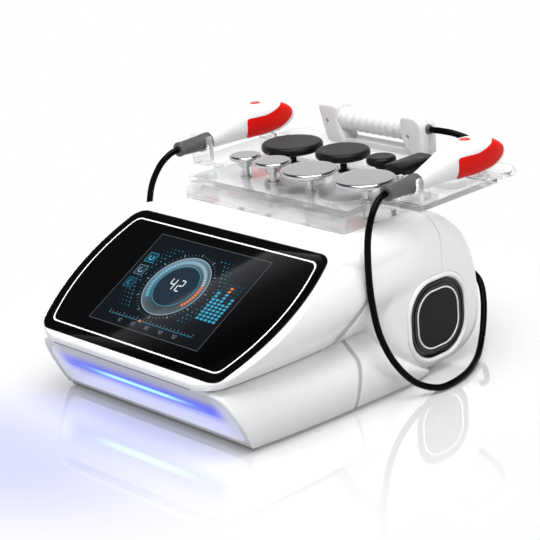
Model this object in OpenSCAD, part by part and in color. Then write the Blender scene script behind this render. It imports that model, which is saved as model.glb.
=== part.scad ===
// Desktop radio-frequency diathermy machine with a clear tray, two handpieces, a bar grip
// and eight electrodes. Millimetres, +Z up, front towards -Y, origin on the table under
// the middle of the machine.

/* [Body] */
// Height of the flat deck behind the screen
deck_z = 160; // [150:1:175]
// How far the front lip stands ahead of the origin
lip_y = 203; // [190:1:215]
// Height of the top edge of the front lip
lip_z = 72.4; // [69:0.1:80]
// Height of the waist where the housings sit on the base
waist_z = 64; // [60:0.5:66]
// Half width of the housing at its widest
bulge_w = 157.5; // [145:0.5:165]
// Height of the widest line round the housing
bulge_z = 112; // [105:1:118]
// How far the flanks draw in from the widest line to the waist
waist_inset = 29; // [20:0.5:32]
// How far the flanks draw in from the widest line to the deck
deck_inset = 14; // [8:0.5:18]
// Radius of the soft edge along the deck
shoulder_r = 26; // [16:1:30]
// Radius of the small edge round the screen
rim_r = 4; // [2:0.5:6]
// Radius of the front corners seen from above
nose_r = 22; // [14:1:28]
// Wall of the moulded housings
wall = 4; // [2.5:0.1:5]
// Width of the open line between two housings
seam = 0.8; // [0.4:0.1:1.2]

/* [Drum] */
// Radius of the drum at the back
drum_r = 78; // [72:0.5:80]
// Distance of the drum axis behind the origin
drum_y = 75; // [65:1:82]
// Half width of the drum between its end faces
drum_w = 147; // [135:0.5:150]
// Edge radius of the drum end at the top
drum_edge_top = 28; // [18:1:34]
// Edge radius of the drum end at the foot
drum_edge_foot = 14; // [8:1:20]
// Plane that parts the rear cover from the middle housing
cover_y = 88; // [80:1:98]

/* [Base] */
// Half width of the base flank before its swell, at the front
base_front_w = 129; // [115:1:135]
// Half width of the base flank before its swell, at its widest
base_mid_w = 142; // [130:1:146]
// Swell of the base flank
base_swell = 11.5; // [6:0.5:14]
// Distance of the foot of the front face ahead of the origin
toe_y = 167; // [155:1:180]
// Height of the flank shoulder at the front
flank_front_z = 61; // [54:0.5:61]
// Height of the flank shoulder beside the screen
flank_mid_z = 51; // [44:0.5:56]
// Thickness of the dark bottom cover
bottom_t = 2.8; // [2:0.1:4]
// Height of the rubber feet below the bottom cover
foot_h = 1.2; // [0.8:0.1:3]
// Radius of a rubber foot
foot_r = 9; // [6:0.5:12]

/* [Screen] */
// Tilt of the screen above horizontal, degrees
screen_tilt = 28.9; // [26:0.1:31]
// Half width of the glass at its widest
glass_w = 150; // [140:0.5:151]
// Radius of the bowed sides of the glass
glass_side_r = 208; // [180:1:260]
// Distance from the display centre to the upper edge of the glass
glass_up = 81.5; // [78:0.5:84]
// Distance from the display centre to the lower edge of the glass
glass_down = 85; // [80:0.5:87]
// Corner radius of the glass
glass_corner = 18; // [10:1:24]
// Width of the white rim below the glass
front_rim = 6.3; // [4:0.1:9]
// Thickness of the glass
glass_t = 3; // [2:0.1:4]
// Distance of the white line inside the edge of the glass
line_inset = 10.5; // [7:0.5:14]
// Width of the white line
line_w = 1.6; // [1:0.1:2.5]
// Width of the display
lcd_w = 170.4; // [150:0.1:176]
// Height of the display
lcd_h = 127.8; // [115:0.1:132]
// Thickness of the display module
lcd_t = 5; // [4:0.1:6]

/* [Side rings] */
// Distance of the ring centre behind the origin
ring_y = 79; // [74:1:84]
// Height of the ring centre
ring_z = 57; // [54:1:62]
// Half width of the white lip round the ring
lip_half = 44.5; // [42:0.5:46]
// Half width of the black ring
ring_half = 38.5; // [34:0.5:40]
// Half width of the matt cap inside the white line
cap_half = 28.6; // [24:0.2:31]
// Width of the white line in the ring
ring_line = 1.4; // [1:0.1:2.5]

/* [Tray] */
// Half width of the clear block under the tray
block_w = 113; // [100:1:118]
// Height of the clear block
block_h = 16; // [12:0.5:20]
// Distance of the block's front edge behind the origin, negative is ahead
block_front = -9; // [-12:1:0]
// Distance of the block's back edge behind the origin
block_back = 115; // [105:1:125]
// Radius of the rounded front edge of the block
bullnose_r = 11; // [6:0.5:12]
// Thickness of the clear plate
plate_t = 6; // [4:0.5:8]
// Half width of the plate across its wings
wing_w = 162; // [155:1:170]
// Distance of the wings' front edge behind the origin
wing_front = 45; // [38:1:50]
// Distance of the plate's back edge behind the origin
plate_back = 203; // [195:1:215]

/* [Handpieces] */
// Distance of each handpiece from the middle of the machine
hand_x = 148; // [142:0.5:150]
// Height of the handpiece axis above the tray plate
hand_rise = 18.6; // [17:0.1:24]
// Distance of the cord end of the grey sleeve behind the origin
hand_back = 14; // [8:1:20]
// Length of the grey sleeve
sleeve_len = 43; // [36:1:46]
// Radius of the grey sleeve where it meets the shell
sleeve_r = 9.6; // [8:0.1:11]
// Radius of the red button
button_r = 5.5; // [4:0.1:6.5]
// Travel of the red button
button_travel = 1.2; // [0.8:0.1:2]
// Height from the plate to the top of the U of a front holder
holder_h = 26; // [22:0.5:30]
// Thickness of the clear holders
holder_t = 6; // [4:0.5:8]

/* [Electrodes] */
// Height of the electrode faces above the tray plate
electrode_rise = 24; // [20:0.5:30]
// Thickness of a chrome electrode
chrome_t = 4.6; // [3:0.1:7]
// Thickness of a black electrode
black_t = 8.5; // [6:0.1:11]
// Radius of the electrode stem
stem_r = 3.6; // [2.5:0.1:4.5]
// Depth of the stem below the top of the plate
stem_depth = 14; // [8:0.5:18]
// Running clearance between bodies that come apart
gap = 0.3; // [0.2:0.05:0.5]

/* [Bar grip] */
// Distance of the bar grip's axis behind the origin
grip_y = 181; // [176:1:186]
// Left end of the bar grip
grip_left = -97; // [-105:1:-90]
// Right end of the bar grip
grip_right = 54; // [48:1:60]
// Height of the bar grip
grip_h = 42; // [40:0.5:50]
// Height of the hand grip's axis above the foot of the bar grip
hold_rise = 25.8; // [24:0.1:28]
// Height of the cord outlet above the foot of the bar grip
outlet_rise = 28.4; // [26:0.1:30]
// Radius of the hand grip between its ribs
grip_r = 11; // [9:0.1:12]
// Number of ribs round the hand grip
rib_count = 9; // [6:1:11]
// Width of the two end blocks from front to back
grip_depth = 24; // [22:0.5:28]
// Chamfer round the end blocks of the bar grip
grip_chamfer = 2.4; // [1:0.1:3.5]
// Thickness of the bar grip's foot
foot_bar = 6; // [5:0.5:8]

/* [Rear panel] */
// Half width of the rear panel
panel_w = 100; // [96:1:104]
// Half height of the rear panel
panel_h = 39; // [37:0.5:41]
// Distance of the panel's inner face behind the origin
panel_y = 135; // [132:0.5:138]
// Thickness of the rear panel
panel_t = 2.5; // [2:0.1:3.5]
// Half size of the cooling fan
fan_half = 30; // [25:1:30]
// Depth of the cooling fan
fan_t = 15; // [10:1:20]

/* [Cords] */
// Radius of the three cords
cord_r = 3.3; // [3:0.1:3.8]

/* [Hidden] */
$fn = 48;
floor_z = foot_h + bottom_t;
drum_z = floor_z + drum_r;
plane_slope = tan(screen_tilt);
fold_y = -lip_y + (deck_z - lip_z) / plane_slope;
groove_y = -22;
groove_lean = 34;
tray_z = deck_z + block_h;
plate_z = tray_z + plate_t;
hand_z = plate_z + hand_rise;
shell_front = hand_back + sleeve_len;
face_z = plate_z + electrode_rise;
panel_z = drum_z;
display_y = -lip_y + (glass_down + front_rim) * cos(screen_tilt);
display_z = lip_z + (glass_down + front_rim) * sin(screen_tilt);
socket_r = 9;
plug_len = 24;
relief_len = 14;
ring_face = drum_w + 1;
pocket_x = drum_w - 2.5;

function lerp(a, b, t) = a + (b - a) * t;
function clamp(t) = max(0, min(1, t));
function ease(t) = let (k = clamp(t)) k * k * (3 - 2 * k);
function arc_in(r, d) = d >= r ? r : sqrt(max(0, r * r - (r - d) * (r - d)));

// Upper outline of the body seen from the side: screen plane, deck, drum.
function plane_z(y) = lip_z + (y + lip_y) * plane_slope;
function roof_z(y) = y <= drum_y ? min(plane_z(y), deck_z)
    : drum_z + (deck_z - drum_z) * sqrt(max(0, 1 - pow((y - drum_y) / drum_r, 2)));

// Lower outline: the waist, then the foot of the drum, fuller towards the back.
function drum_power(y) = y > drum_y ? 3 : 2;
function keel_z(y) =
    let (q = min(1, abs(y - drum_y) / drum_r), n = drum_power(y))
    y > drum_y ? drum_z - drum_r * pow(max(0, 1 - pow(q, n)), 1 / n)
    : min(waist_z, drum_z - drum_r * sqrt(max(0, 1 - q * q)));

// Half width of the housing flank, bowed in plan and in height.
function plan_w(y) = y < -90
    ? bulge_w - 7.5 * pow((-90 - y) / (lip_y - 90), 2)
    : bulge_w - (bulge_w - drum_w) * ease((y + 90) / (cover_y + 90));
function flank_w(y, z) = plan_w(y) - (z < bulge_z
    ? waist_inset * pow((bulge_z - z) / (bulge_z - waist_z), 2)
    : deck_inset * pow((z - bulge_z) / (deck_z - bulge_z), 2));
function edge_r(y) = lerp(rim_r, shoulder_r, ease((y + 70) / 60));
function shell_w(y, z, t = 0) =
    let (r = edge_r(y), top = roof_z(y) - t, zr = top - r, w = flank_w(y, min(z, zr)) - t)
    z <= zr ? w : w - r + arc_in(r, top - z);
function nose_cut(y) = nose_r - arc_in(nose_r, y + lip_y);

// Half width of the drum with its rounded end edges.
function drum_end(y, z, t = 0) =
    let (r = drum_r - t,
         k = z > drum_z ? (deck_z - drum_z) / drum_r : 1,
         n = z < drum_z ? drum_power(y) : 2,
         q = pow(pow(abs(y - drum_y) / r, n) + pow(abs(z - drum_z) / (r * k), n), 1 / n),
         d = (1 - q) * r,
         edge = lerp(drum_edge_foot, drum_edge_top, ease((z - 15) / 90)))
    d < -0.5 ? -1000 : drum_w - t - edge + arc_in(edge, max(0, d));

// A skin over rings of equal point count, closed at both ends by strips that join
// each point to its partner on the other side of the ring.
module skin(rings) {
    n = len(rings[0]);
    m = len(rings);
    base = (m - 1) * n;
    sides = [for (i = [0:m - 2], j = [0:n - 1])
        [i * n + j, (i + 1) * n + j, (i + 1) * n + (j + 1) % n, i * n + (j + 1) % n]];
    first = [for (j = [0:n / 2 - 2]) [j, j + 1, n - 2 - j, n - 1 - j]];
    last = [for (j = [0:n / 2 - 2]) [base + n - 1 - j, base + n - 2 - j, base + j + 1, base + j]];
    polyhedron([for (r = rings) each r], concat(first, sides, last), convexity = 8);
}

// A left-right symmetric ring from a list of right-hand points [x, y, z].
function mirrored(half) = concat(half,
    [for (i = [len(half) - 1:-1:0]) [-half[i][0], half[i][1], half[i][2]]]);

// Height steps that crowd towards the top and the foot of a section.
function height_step(top, foot, i, n) = top - (top - foot) * (1 - cos(180 * i / n)) / 2;

// The oblique line where the screen housing meets the middle housing, with its corners
// on the height steps that both sections share there.
function lean(z) = lookup(z, [for (i = [housing_rows:-1:0])
    let (level = height_step(deck_z, waist_z, i, housing_rows))
    [level, groove_lean * ease((bulge_z + 6 - level) / 40)]]);
function lean_front(y, z) = y - lean(z) * ease((y + 110) / (groove_y + 110));
function lean_back(y, z) = y - lean(z) * (1 - ease((y - groove_y) / 20));

// Screen housing
housing_rows = 9;
housing_stations = concat(
    [0, 1.2, 4, 8.5, 14, nose_r],
    [for (y = [36, 58, 84, 110, 134, 150, lip_y + fold_y, 170]) y],
    [lip_y + groove_y - seam / 2]);
module housing_solid(t = 0, foot = waist_z) {
    start = t > 0 ? 4 : 0;
    skin([for (k = [start:len(housing_stations) - 1])
        let (y = housing_stations[k] - lip_y + (k == len(housing_stations) - 1 ? t / 4 : 0),
             top = roof_z(y) - t * 1.6)
        mirrored([for (i = [0:housing_rows])
            let (z = height_step(top, foot, i, housing_rows),
                 ya = lean_front(y, max(z, waist_z)),
                 zw = max(min(z + (z > bulge_z ? 1.6 * t : 0), roof_z(y)), waist_z))
            [max(1, shell_w(ya, zw) - nose_cut(y) - t), ya, z]])]);
}

module on_screen() {
    translate([0, display_y, display_z]) rotate([screen_tilt, 0, 0]) children();
}

module glass_shape(inset = 0) {
    round_r = glass_corner - min(inset, 8);
    offset(r = round_r, $fn = 40)
    offset(delta = -round_r - inset)
    intersection() {
        translate([-(glass_side_r - glass_w), 8]) circle(glass_side_r, $fn = 120);
        translate([glass_side_r - glass_w, 8]) circle(glass_side_r, $fn = 120);
        translate([-200, -glass_down]) square([400, glass_down + glass_up]);
    }
}

module screen_housing() {
    color("white")
    difference() {
        housing_solid();
        housing_solid(wall, waist_z - 1);
        on_screen() translate([0, 0, -glass_t - gap]) linear_extrude(20) glass_shape(-gap);
        on_screen() translate([-lcd_w / 2 - 2, -lcd_h / 2 - 2, -14]) cube([lcd_w + 4, lcd_h + 4, 20]);
    }
}

module screen_glass() {
    color("black")
    on_screen() translate([0, 0, -glass_t - gap]) difference() {
        linear_extrude(glass_t) glass_shape();
        translate([0, 0, glass_t - 0.6]) linear_extrude(1) difference() {
            glass_shape(line_inset);
            glass_shape(line_inset + line_w);
        }
    }
}

module glass_line() {
    color("white")
    on_screen() translate([0, 0, -gap - 0.6]) linear_extrude(0.6) difference() {
        glass_shape(line_inset);
        glass_shape(line_inset + line_w);
    }
}

module lcd_module() {
    color("dimgray")
    on_screen() translate([0, 0, -glass_t - gap - lcd_t]) difference() {
        translate([-lcd_w / 2, -lcd_h / 2, 0]) cube([lcd_w, lcd_h, lcd_t]);
        translate([-lcd_w / 2 + 6, -lcd_h / 2 + 6, -1]) cube([lcd_w - 12, lcd_h - 12, 2.2]);
    }
}

// Middle housing: the barrel behind the screen and the front half of the drum
body_rows = 18;
body_stations = concat(
    [groove_y + seam / 2, -17, -12, -7, drum_y - drum_r],
    [for (y = [3, 9, 17, 27, 38, 50, 62, drum_y]) y],
    [cover_y - seam / 2]);
function body_w(y, z, t = 0) = max(z < waist_z ? -1000 : shell_w(y, z, t), drum_end(y, z, t));
module middle_solid(t = 0, stretch = 0) {
    last = len(body_stations) - 1;
    skin([for (k = [0:last])
        let (y = body_stations[k] + (k == 0 ? -stretch : k == last ? stretch : 0),
             top = roof_z(y) - t,
             foot = keel_z(y) + t)
        mirrored([for (i = [0:body_rows])
            let (z = height_step(top, foot, i, body_rows), ya = lean_back(y, z))
            [max(2, body_w(ya, z, t)), ya, z]])]);
}

module middle_housing() {
    color("white")
    difference() {
        middle_solid();
        middle_solid(wall, 3);
        for (s = [-1, 1]) ring_pocket(s);
        translate([-60, -40, waist_z - 10]) cube([120, 60, 14]);
    }
}

// Rear cover: the back of the drum with the window for the connector panel
cover_steps = 9;
module cover_solid(t = 0, stretch = 0) {
    y0 = cover_y + seam / 2 - stretch;
    y1 = drum_y + drum_r - t;
    skin([for (k = [0:cover_steps])
        let (y = lerp(y0, y1, sin(90 * k / cover_steps)) - (k == cover_steps ? 0.3 : 0),
             q = pow((y - drum_y) / (drum_r - t), 1),
             top = drum_z + (deck_z - drum_z - t) * sqrt(max(0, 1 - q * q)),
             foot = drum_z - (drum_r - t) * pow(max(0, 1 - pow(max(0, q), 3)), 1 / 3))
        mirrored([for (i = [0:body_rows])
            let (z = height_step(top, foot, i, body_rows))
            [max(drum_w - t - drum_edge_top, drum_end(y, z, t)), y, z]])]);
}

module panel_box(grow, y0, y1) {
    translate([-panel_w - grow, y0, panel_z - panel_h - grow])
        cube([2 * (panel_w + grow), y1 - y0, 2 * (panel_h + grow)]);
}

module rear_cover() {
    color("whitesmoke")
    difference() {
        union() {
            difference() {
                cover_solid();
                cover_solid(wall, 1);
            }
            intersection() {
                cover_solid();
                panel_box(3.5, panel_y - 4, panel_y + 30);
            }
        }
        panel_box(0, panel_y, panel_y + 40);
        panel_box(-4, panel_y - 10, panel_y + 40);
        for (s = [-1, 1]) ring_pocket(s);
    }
}

// Side rings: a white lip, a black ring, a white line and a matt cap on each drum end
module round_square(half, r) {
    for (sx = [-1, 1], sy = [-1, 1]) translate([sx * (half - r), sy * (half - r)]) circle(r);
    square([2 * half, 2 * (half - r)], center = true);
    square([2 * (half - r), 2 * half], center = true);
}

module on_drum_end(s) {
    mirror([s < 0 ? 1 : 0, 0, 0])
    translate([pocket_x, ring_y, ring_z]) rotate([90, 0, 90]) children();
}

module ring_pocket(s) {
    on_drum_end(s) linear_extrude(30) round_square(lip_half, lip_half * 0.8);
}

function round_square_point(half, r, a) =
    let (k = floor(a / 90), q = a - 90 * k, c = half - r,
         cx = (k == 0 || k == 3) ? c : -c, cy = k < 2 ? c : -c)
    [cx + r * cos(a), cy + r * sin(a)];

// The soft lip: a half-round bead swept round the ring
lip_turn = 32;
lip_bead = 5;
module side_lip(s) {
    inner = ring_half + 0.3;
    outer = lip_half - 0.15;
    top = ring_face - pocket_x + 0.8;
    angles = [for (i = [0:lip_turn - 1]) 360 * (i + 0.5) / lip_turn];
    profile = concat([[0, 0]], [for (j = [0:lip_bead])
        let (b = 180 - 180 * j / lip_bead)
        [0.5 + 0.5 * cos(b), (0.35 + 0.65 * sin(b)) * top]], [[1, 0]]);
    n = len(profile);
    points = [for (a = angles) each [for (p = profile)
        let (half = lerp(inner, outer, p[0]),
             q = round_square_point(half, half * 0.8, a))
        [q[0], q[1], p[1]]]];
    faces = [for (i = [0:lip_turn - 1], j = [0:n - 1])
        [i * n + j, ((i + 1) % lip_turn) * n + j,
         ((i + 1) % lip_turn) * n + (j + 1) % n, i * n + (j + 1) % n]];
    on_drum_end(s) polyhedron(points, [for (f = faces) [f[3], f[2], f[1], f[0]]], convexity = 6);
}

module side_lips() {
    color("white") for (s = [-1, 1]) side_lip(s);
}

// The line and the cap share one corner, which grows when the ring leaves less room round it
line_half = cap_half + ring_line;
ring_band = ring_half - line_half;
corner_reach = 1 - sqrt(0.5);
least_corner = (line_half + 0.8 - ring_half * (1 - corner_reach * 0.8)) / corner_reach;
line_corner = max(cap_half * 0.62, least_corner);
cap_corner = max(cap_half * 0.6, least_corner * cap_half / line_half);

module side_rings() {
    color("black") for (s = [-1, 1]) on_drum_end(s) difference() {
        linear_extrude(ring_face - pocket_x - 0.6) round_square(ring_half, ring_half * 0.8);
        translate([0, 0, -1]) linear_extrude(9) round_square(line_half, line_corner);
        translate([0, 0, ring_face - pocket_x - 1.6]) linear_extrude(3) difference() {
            round_square(ring_half - ring_band * 6 / 17, ring_half * 0.75);
            round_square(ring_half - ring_band * 9.2 / 17, ring_half * 0.72);
        }
    }
}

module side_lines() {
    color("white") for (s = [-1, 1]) on_drum_end(s) linear_extrude(ring_face - pocket_x - 0.3)
    difference() {
        round_square(line_half, line_corner);
        round_square(cap_half, cap_corner);
    }
}

module side_caps() {
    color("darkslategray") for (s = [-1, 1]) on_drum_end(s)
        linear_extrude(ring_face - pocket_x - 0.7) round_square(cap_half, cap_corner);
}

// Base: swelling flanks, a sloping ledge up to the waist and an open, leaning front
function face_y(z) = lerp(-toe_y, -lip_y + 6, (z - floor_z) / (waist_z - floor_z));
function shoulder_z(y) = y < -30
    ? lerp(flank_front_z, flank_mid_z, ease((y + 195) / 130))
    : flank_mid_z - (flank_mid_z - floor_z - 1.5) * pow((y + 30) / 96, 1.35);
function base_plan(y) = y < 20
    ? base_mid_w - (base_mid_w - base_front_w) * pow((20 - y) / 190, 2)
    : base_mid_w - 9 * pow((y - 20) / 46, 2);
function base_w(y, z) =
    let (top = shoulder_z(y), mid = lerp(floor_z, top, 0.5),
         reach = z > mid ? top - mid + 1 : mid - floor_z + 8)
    base_plan(y) + base_swell * sqrt(max(0, 1 - pow((z - mid) / reach, 2)));

base_stations = [0, 0.06, 0.16, 0.28, 0.4, 0.5, 0.58, 0.66, 0.74, 0.81, 0.88, 0.94, 1];
base_end = 64;
base_rows = 9;
function base_ring(u, t) =
    let (y_at = function (z) lerp(face_y(z), base_end, u),
         yw = y_at(waist_z),
         ys = y_at(shoulder_z(yw)),
         waist = flank_w(min(yw, 0), waist_z) - 2 - 2 * t)
    mirrored(concat(
        [[waist, y_at(waist_z), waist_z - t], [waist, y_at(waist_z - 2), waist_z - 2 - t]],
        [for (i = [0:base_rows])
            let (z = lerp(shoulder_z(ys), floor_z, (1 - cos(180 * i / base_rows)) / 2), y = y_at(z))
            [base_w(y, z) - t, y, z - (i == 0 ? t : 0) - (i == base_rows && t > 0 ? 1 : 0)]]));

// Outline of the front opening, inset from the flanks and set back by a distance
opening_low = floor_z + 5;
opening_high = waist_z - 6;
function opening_ring(inset, back, low, high, rows = base_rows + 2) = mirrored([for (i = [0:rows])
    let (z = lerp(high, low, (1 - cos(180 * i / rows)) / 2), y = face_y(z) + back)
    [base_w(y, z) - inset, y, z]]);

module base_shell() {
    color("white")
    difference() {
        skin([for (u = base_stations) base_ring(u, 0)]);
        skin(concat([for (back = [-3, 9]) opening_ring(wall, back, opening_low, opening_high)],
            [for (k = [1:len(base_stations) - 2]) base_ring(base_stations[k], wall)]));
        middle_solid();
        cover_solid(0, 3);
    }
}

panel_back = 0.8;
light_t = 4;
module light_panel() {
    color("lavender")
    skin([for (back = [panel_back, panel_back + light_t])
        opening_ring(wall + gap, back, opening_low + gap, opening_high - gap, 8)]);
}

module led_strip() {
    led_z = floor_z + 32;
    color("royalblue")
    translate([0, face_y(led_z) + panel_back + light_t + 0.1, led_z])
    rotate([atan((lip_y - 6 - toe_y) / (waist_z - floor_z)), 0, 0]) {
        translate([-112, 1.4, -6]) cube([224, 1.6, 12]);
        for (i = [0:13]) translate([-104 + i * 16 - 2.5, 0, -2.5]) cube([5, 1.5, 5]);
    }
}

module bottom_cover() {
    front = -toe_y + 3;
    back = drum_y + 22;
    round_y = back - 24;
    steps = 20;
    edge = [for (i = [0:steps])
        let (y = lerp(front, back, sin(90 * i / steps)),
             tail = y > round_y ? 24 - arc_in(24, back - y) : 0)
        [min(base_w(min(y, base_end - 8), floor_z) - 3, drum_w - drum_edge_foot) - tail, y]];
    color("dimgray")
    difference() {
        translate([0, 0, foot_h]) linear_extrude(bottom_t) polygon(concat(edge,
            [for (i = [steps:-1:0]) [-edge[i][0], edge[i][1]]]));
        for (i = [-4:4], j = [0:1]) translate([i * 14 - 2.5, -132 + j * 60, 0]) cube([5, 36, 9]);
    }
}

foot_spots = [[-112, -146], [112, -146], [-108, 80], [108, 80]];
module rubber_feet() {
    color("black") for (p = foot_spots) translate([p[0], p[1], 0]) cylinder(h = foot_h, r = foot_r);
}

// Electronics inside
module rf_module() {
    color("silver")
    translate([0, -124, floor_z]) {
        translate([-55, -26, 0]) cube([110, 52, 6]);
        for (i = [0:9]) translate([-55 + i * 12 - (i > 9 ? 2 : 0), -26, 6]) cube([2, 52, 24]);
        translate([-55, -26, 30]) cube([110, 52, 1.6]);
        for (i = [-1, 1]) translate([i * 30, 0, 31.6]) cylinder(h = 12, r = 9);
    }
}

module power_supply() {
    color("lightgray")
    translate([-62, -96, floor_z]) difference() {
        cube([124, 58, 34]);
        for (i = [0:8]) translate([12 + i * 12, -1, 10]) cube([5, 60, 14]);
    }
}

module main_board() {
    color("seagreen")
    translate([0, -90, waist_z]) {
        for (sx = [-1, 1], sy = [-1, 1]) translate([sx * 66, sy * 24, 0]) cylinder(h = 8, r = 3);
        translate([-72, -30, 8]) cube([144, 60, 1.6]);
        translate([-18, -14, 9.6]) cube([26, 26, 2.5]);
        translate([30, -16, 9.6]) cube([18, 12, 8]);
        for (i = [0:3]) translate([-58 + i * 11, 14, 9.6]) cylinder(h = 9, r = 4);
    }
}

// Rear panel with its connectors, inlet, switch and fan
fan_x = -42;
inlet_x = 50;
socket_spots = [[-82, -18], [82, -18], [12, 20]];
inlet_w = 28;
inlet_h = 48;
rocker_z = panel_z + 14;
module panel_point(p) {
    translate([p[0], panel_y, panel_z + p[1]]) rotate([-90, 0, 0]) children();
}

module rear_panel() {
    color("lightgray")
    difference() {
        panel_box(-gap, panel_y, panel_y + panel_t);
        for (p = socket_spots) panel_point(p) translate([0, 0, -5]) cylinder(h = 20, r = socket_r + gap);
        translate([inlet_x - inlet_w / 2, panel_y - 5, panel_z - inlet_h / 2]) cube([inlet_w, 20, inlet_h]);
        panel_point([fan_x, 0]) translate([0, 0, -5]) cylinder(h = 20, r = fan_half - 3);
        for (i = [0:7]) translate([-97 + (i > 3 ? 158 : 0) + (i % 4) * 8, panel_y - 5, panel_z - 37])
            cube([3.5, 20, 6]);
    }
}

module cord_sockets() {
    color("darkgray") for (p = socket_spots) panel_point(p) {
        difference() {
            translate([0, 0, -14]) cylinder(h = 14 + panel_t, r = socket_r);
            translate([0, 0, -8]) cylinder(h = 30, r = 6.3);
        }
        translate([0, 0, panel_t]) difference() {
            cylinder(h = 2, r = socket_r + 2.5);
            translate([0, 0, -1]) cylinder(h = 5, r = 6.3);
        }
    }
}

module power_inlet() {
    y0 = panel_y + panel_t;
    color("black")
    difference() {
        union() {
            translate([inlet_x - inlet_w / 2 - 3, y0, panel_z - inlet_h / 2 - 3])
                cube([inlet_w + 6, 2.4, inlet_h + 6]);
            translate([inlet_x - inlet_w / 2 + gap, panel_y - 20, panel_z - inlet_h / 2 + gap])
                cube([inlet_w - 2 * gap, 20 + panel_t, inlet_h - 2 * gap]);
        }
        translate([inlet_x - 11.5, y0 - 14, panel_z - 21]) cube([23, 20, 16]);
        translate([inlet_x - 11, y0 - 9, rocker_z - 7.5]) cube([22, 20, 15]);
    }
    color("silver") for (i = [-1, 0, 1])
        translate([inlet_x + i * 7 - 1, y0 - 14.2, panel_z - 15 + (i == 0 ? 2 : -2)]) cube([2, 8, 4]);
}

module power_switch() {
    pivot_y = panel_y + panel_t - 3;
    color("firebrick")
    translate([inlet_x, pivot_y, rocker_z]) rotate([0, 90, 0]) intersection() {
        cylinder(h = 20.8, r = 8, center = true);
        translate([-6.6, 0, -10.4]) cube([13.2, 6.2, 20.8]);
    }
}

module fan_frame() {
    color("black")
    translate([fan_x, panel_y - fan_t, panel_z]) rotate([-90, 0, 0]) {
        difference() {
            translate([-fan_half, -fan_half, 0]) cube([2 * fan_half, 2 * fan_half, fan_t]);
            translate([0, 0, -1]) cylinder(h = fan_t + 2, r = fan_half - 2);
            for (sx = [-1, 1], sy = [-1, 1]) translate([sx * (fan_half - 5), sy * (fan_half - 5), -1])
                cylinder(h = fan_t + 2, r = 2);
        }
        cylinder(h = 3, r = 11);
        for (a = [0:90:270]) rotate([0, 0, a + 45]) translate([10, -1.5, 0]) cube([fan_half - 11, 3, 2]);
        cylinder(h = fan_t - 4, r = 1.5);
    }
}

module fan_rotor() {
    color("dimgray")
    translate([fan_x, panel_y - fan_t, panel_z]) rotate([-90, 0, 0]) {
        difference() {
            translate([0, 0, 3 + gap]) cylinder(h = fan_t - 5, r = 11);
            translate([0, 0, 2]) cylinder(h = fan_t - 5.6, r = 1.55);
        }
        for (a = [0:6]) rotate([0, 0, a * 360 / 7]) intersection() {
            translate([10, 0, fan_t / 2 + 1]) rotate([38, 0, 0])
                translate([0, -6, -0.7]) cube([fan_half - 13.5, 12, 1.4]);
            translate([0, 0, 3 + gap]) cylinder(h = fan_t - 5, r = fan_half - 3);
        }
    }
}

module fan_guard() {
    color("silver")
    translate([fan_x, panel_y + panel_t, panel_z]) rotate([-90, 0, 0]) {
        for (r = [8:6:26]) rotate_extrude() translate([r, 1.6]) circle(0.8, $fn = 16);
        for (a = [0:90:270]) rotate([0, 0, a + 45]) translate([0, 0, 0.8])
            rotate([0, 90, 0]) cylinder(h = fan_half + 3, r = 0.8, $fn = 16);
        for (a = [0:90:270]) rotate([0, 0, a + 45]) translate([fan_half + 3, 0, 0]) difference() {
            cylinder(h = 1.6, r = 3.2);
            translate([0, 0, -1]) cylinder(h = 4, r = 1.6);
        }
    }
}

// Tray
electrode_spots = [
    ["chrome_electrode_small", -57, 26, 16],
    ["chrome_electrode_medium", -17, 26, 19],
    ["chrome_electrode_large", 37, 24, 28.5],
    ["chrome_electrode_wide", 106, 30, 30.5],
    ["black_electrode_wide", -50, 86, 32],
    ["black_electrode_large", 16, 93, 28],
    ["black_electrode_small", 68, 94, 15],
    ["black_electrode_square", 104, 98, 13]];
spare_socket = [14, 60];

module stem_holes(depth) {
    for (e = electrode_spots) translate([e[1], e[2], plate_z - depth]) cylinder(h = depth + 1, r = stem_r + gap);
    translate([spare_socket[0], spare_socket[1], plate_z - depth]) cylinder(h = depth + 1, r = stem_r + gap);
}

module tray_block() {
    color("aliceblue")
    difference() {
        rotate([90, 0, 90]) translate([0, 0, -block_w]) linear_extrude(2 * block_w) {
            translate([block_front + bullnose_r, deck_z]) square([block_back - block_front - bullnose_r, block_h]);
            translate([block_front, deck_z]) square([bullnose_r + 1, block_h - bullnose_r]);
            intersection() {
                translate([block_front + bullnose_r, tray_z - bullnose_r]) circle(bullnose_r);
                translate([block_front - 1, tray_z - bullnose_r - 1]) square([bullnose_r + 2, bullnose_r + 1]);
            }
        }
        stem_holes(stem_depth + 1);
    }
}

plate_front = -3;
notch_y = 158;
tab_y = 168;
tab_w = 158;
module tray_plate() {
    half = [[block_w, plate_front], [block_w, wing_front], [wing_w, wing_front], [wing_w, notch_y],
            [wing_w - 24, notch_y], [wing_w - 24, tab_y], [tab_w, tab_y], [tab_w, plate_back - 12],
            [tab_w - 14, plate_back]];
    color("aliceblue")
    difference() {
        translate([0, 0, tray_z]) linear_extrude(plate_t) polygon(concat(half,
            [for (i = [len(half) - 1:-1:0]) [-half[i][0], half[i][1]]]));
        stem_holes(plate_t + 1);
    }
}

module front_holders() {
    color("aliceblue")
    for (s = [-1, 1]) translate([s * hand_x, wing_front, 0]) rotate([90, 0, 0])
    translate([0, 0, -holder_t]) linear_extrude(holder_t) difference() {
        translate([-15, plate_z]) square([wing_w - hand_x + 15, holder_h]);
        translate([0, hand_z]) circle(sleeve_r + gap);
        translate([-sleeve_r - gap, hand_z]) square([2 * (sleeve_r + gap), 40]);
    }
}

holder_y = 140;
module rear_holders() {
    color("aliceblue")
    for (s = [-1, 1]) translate([s * hand_x - 12, holder_y, plate_z])
        cube([24, holder_t, hand_foot(holder_y) - plate_z - gap]);
}

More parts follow.
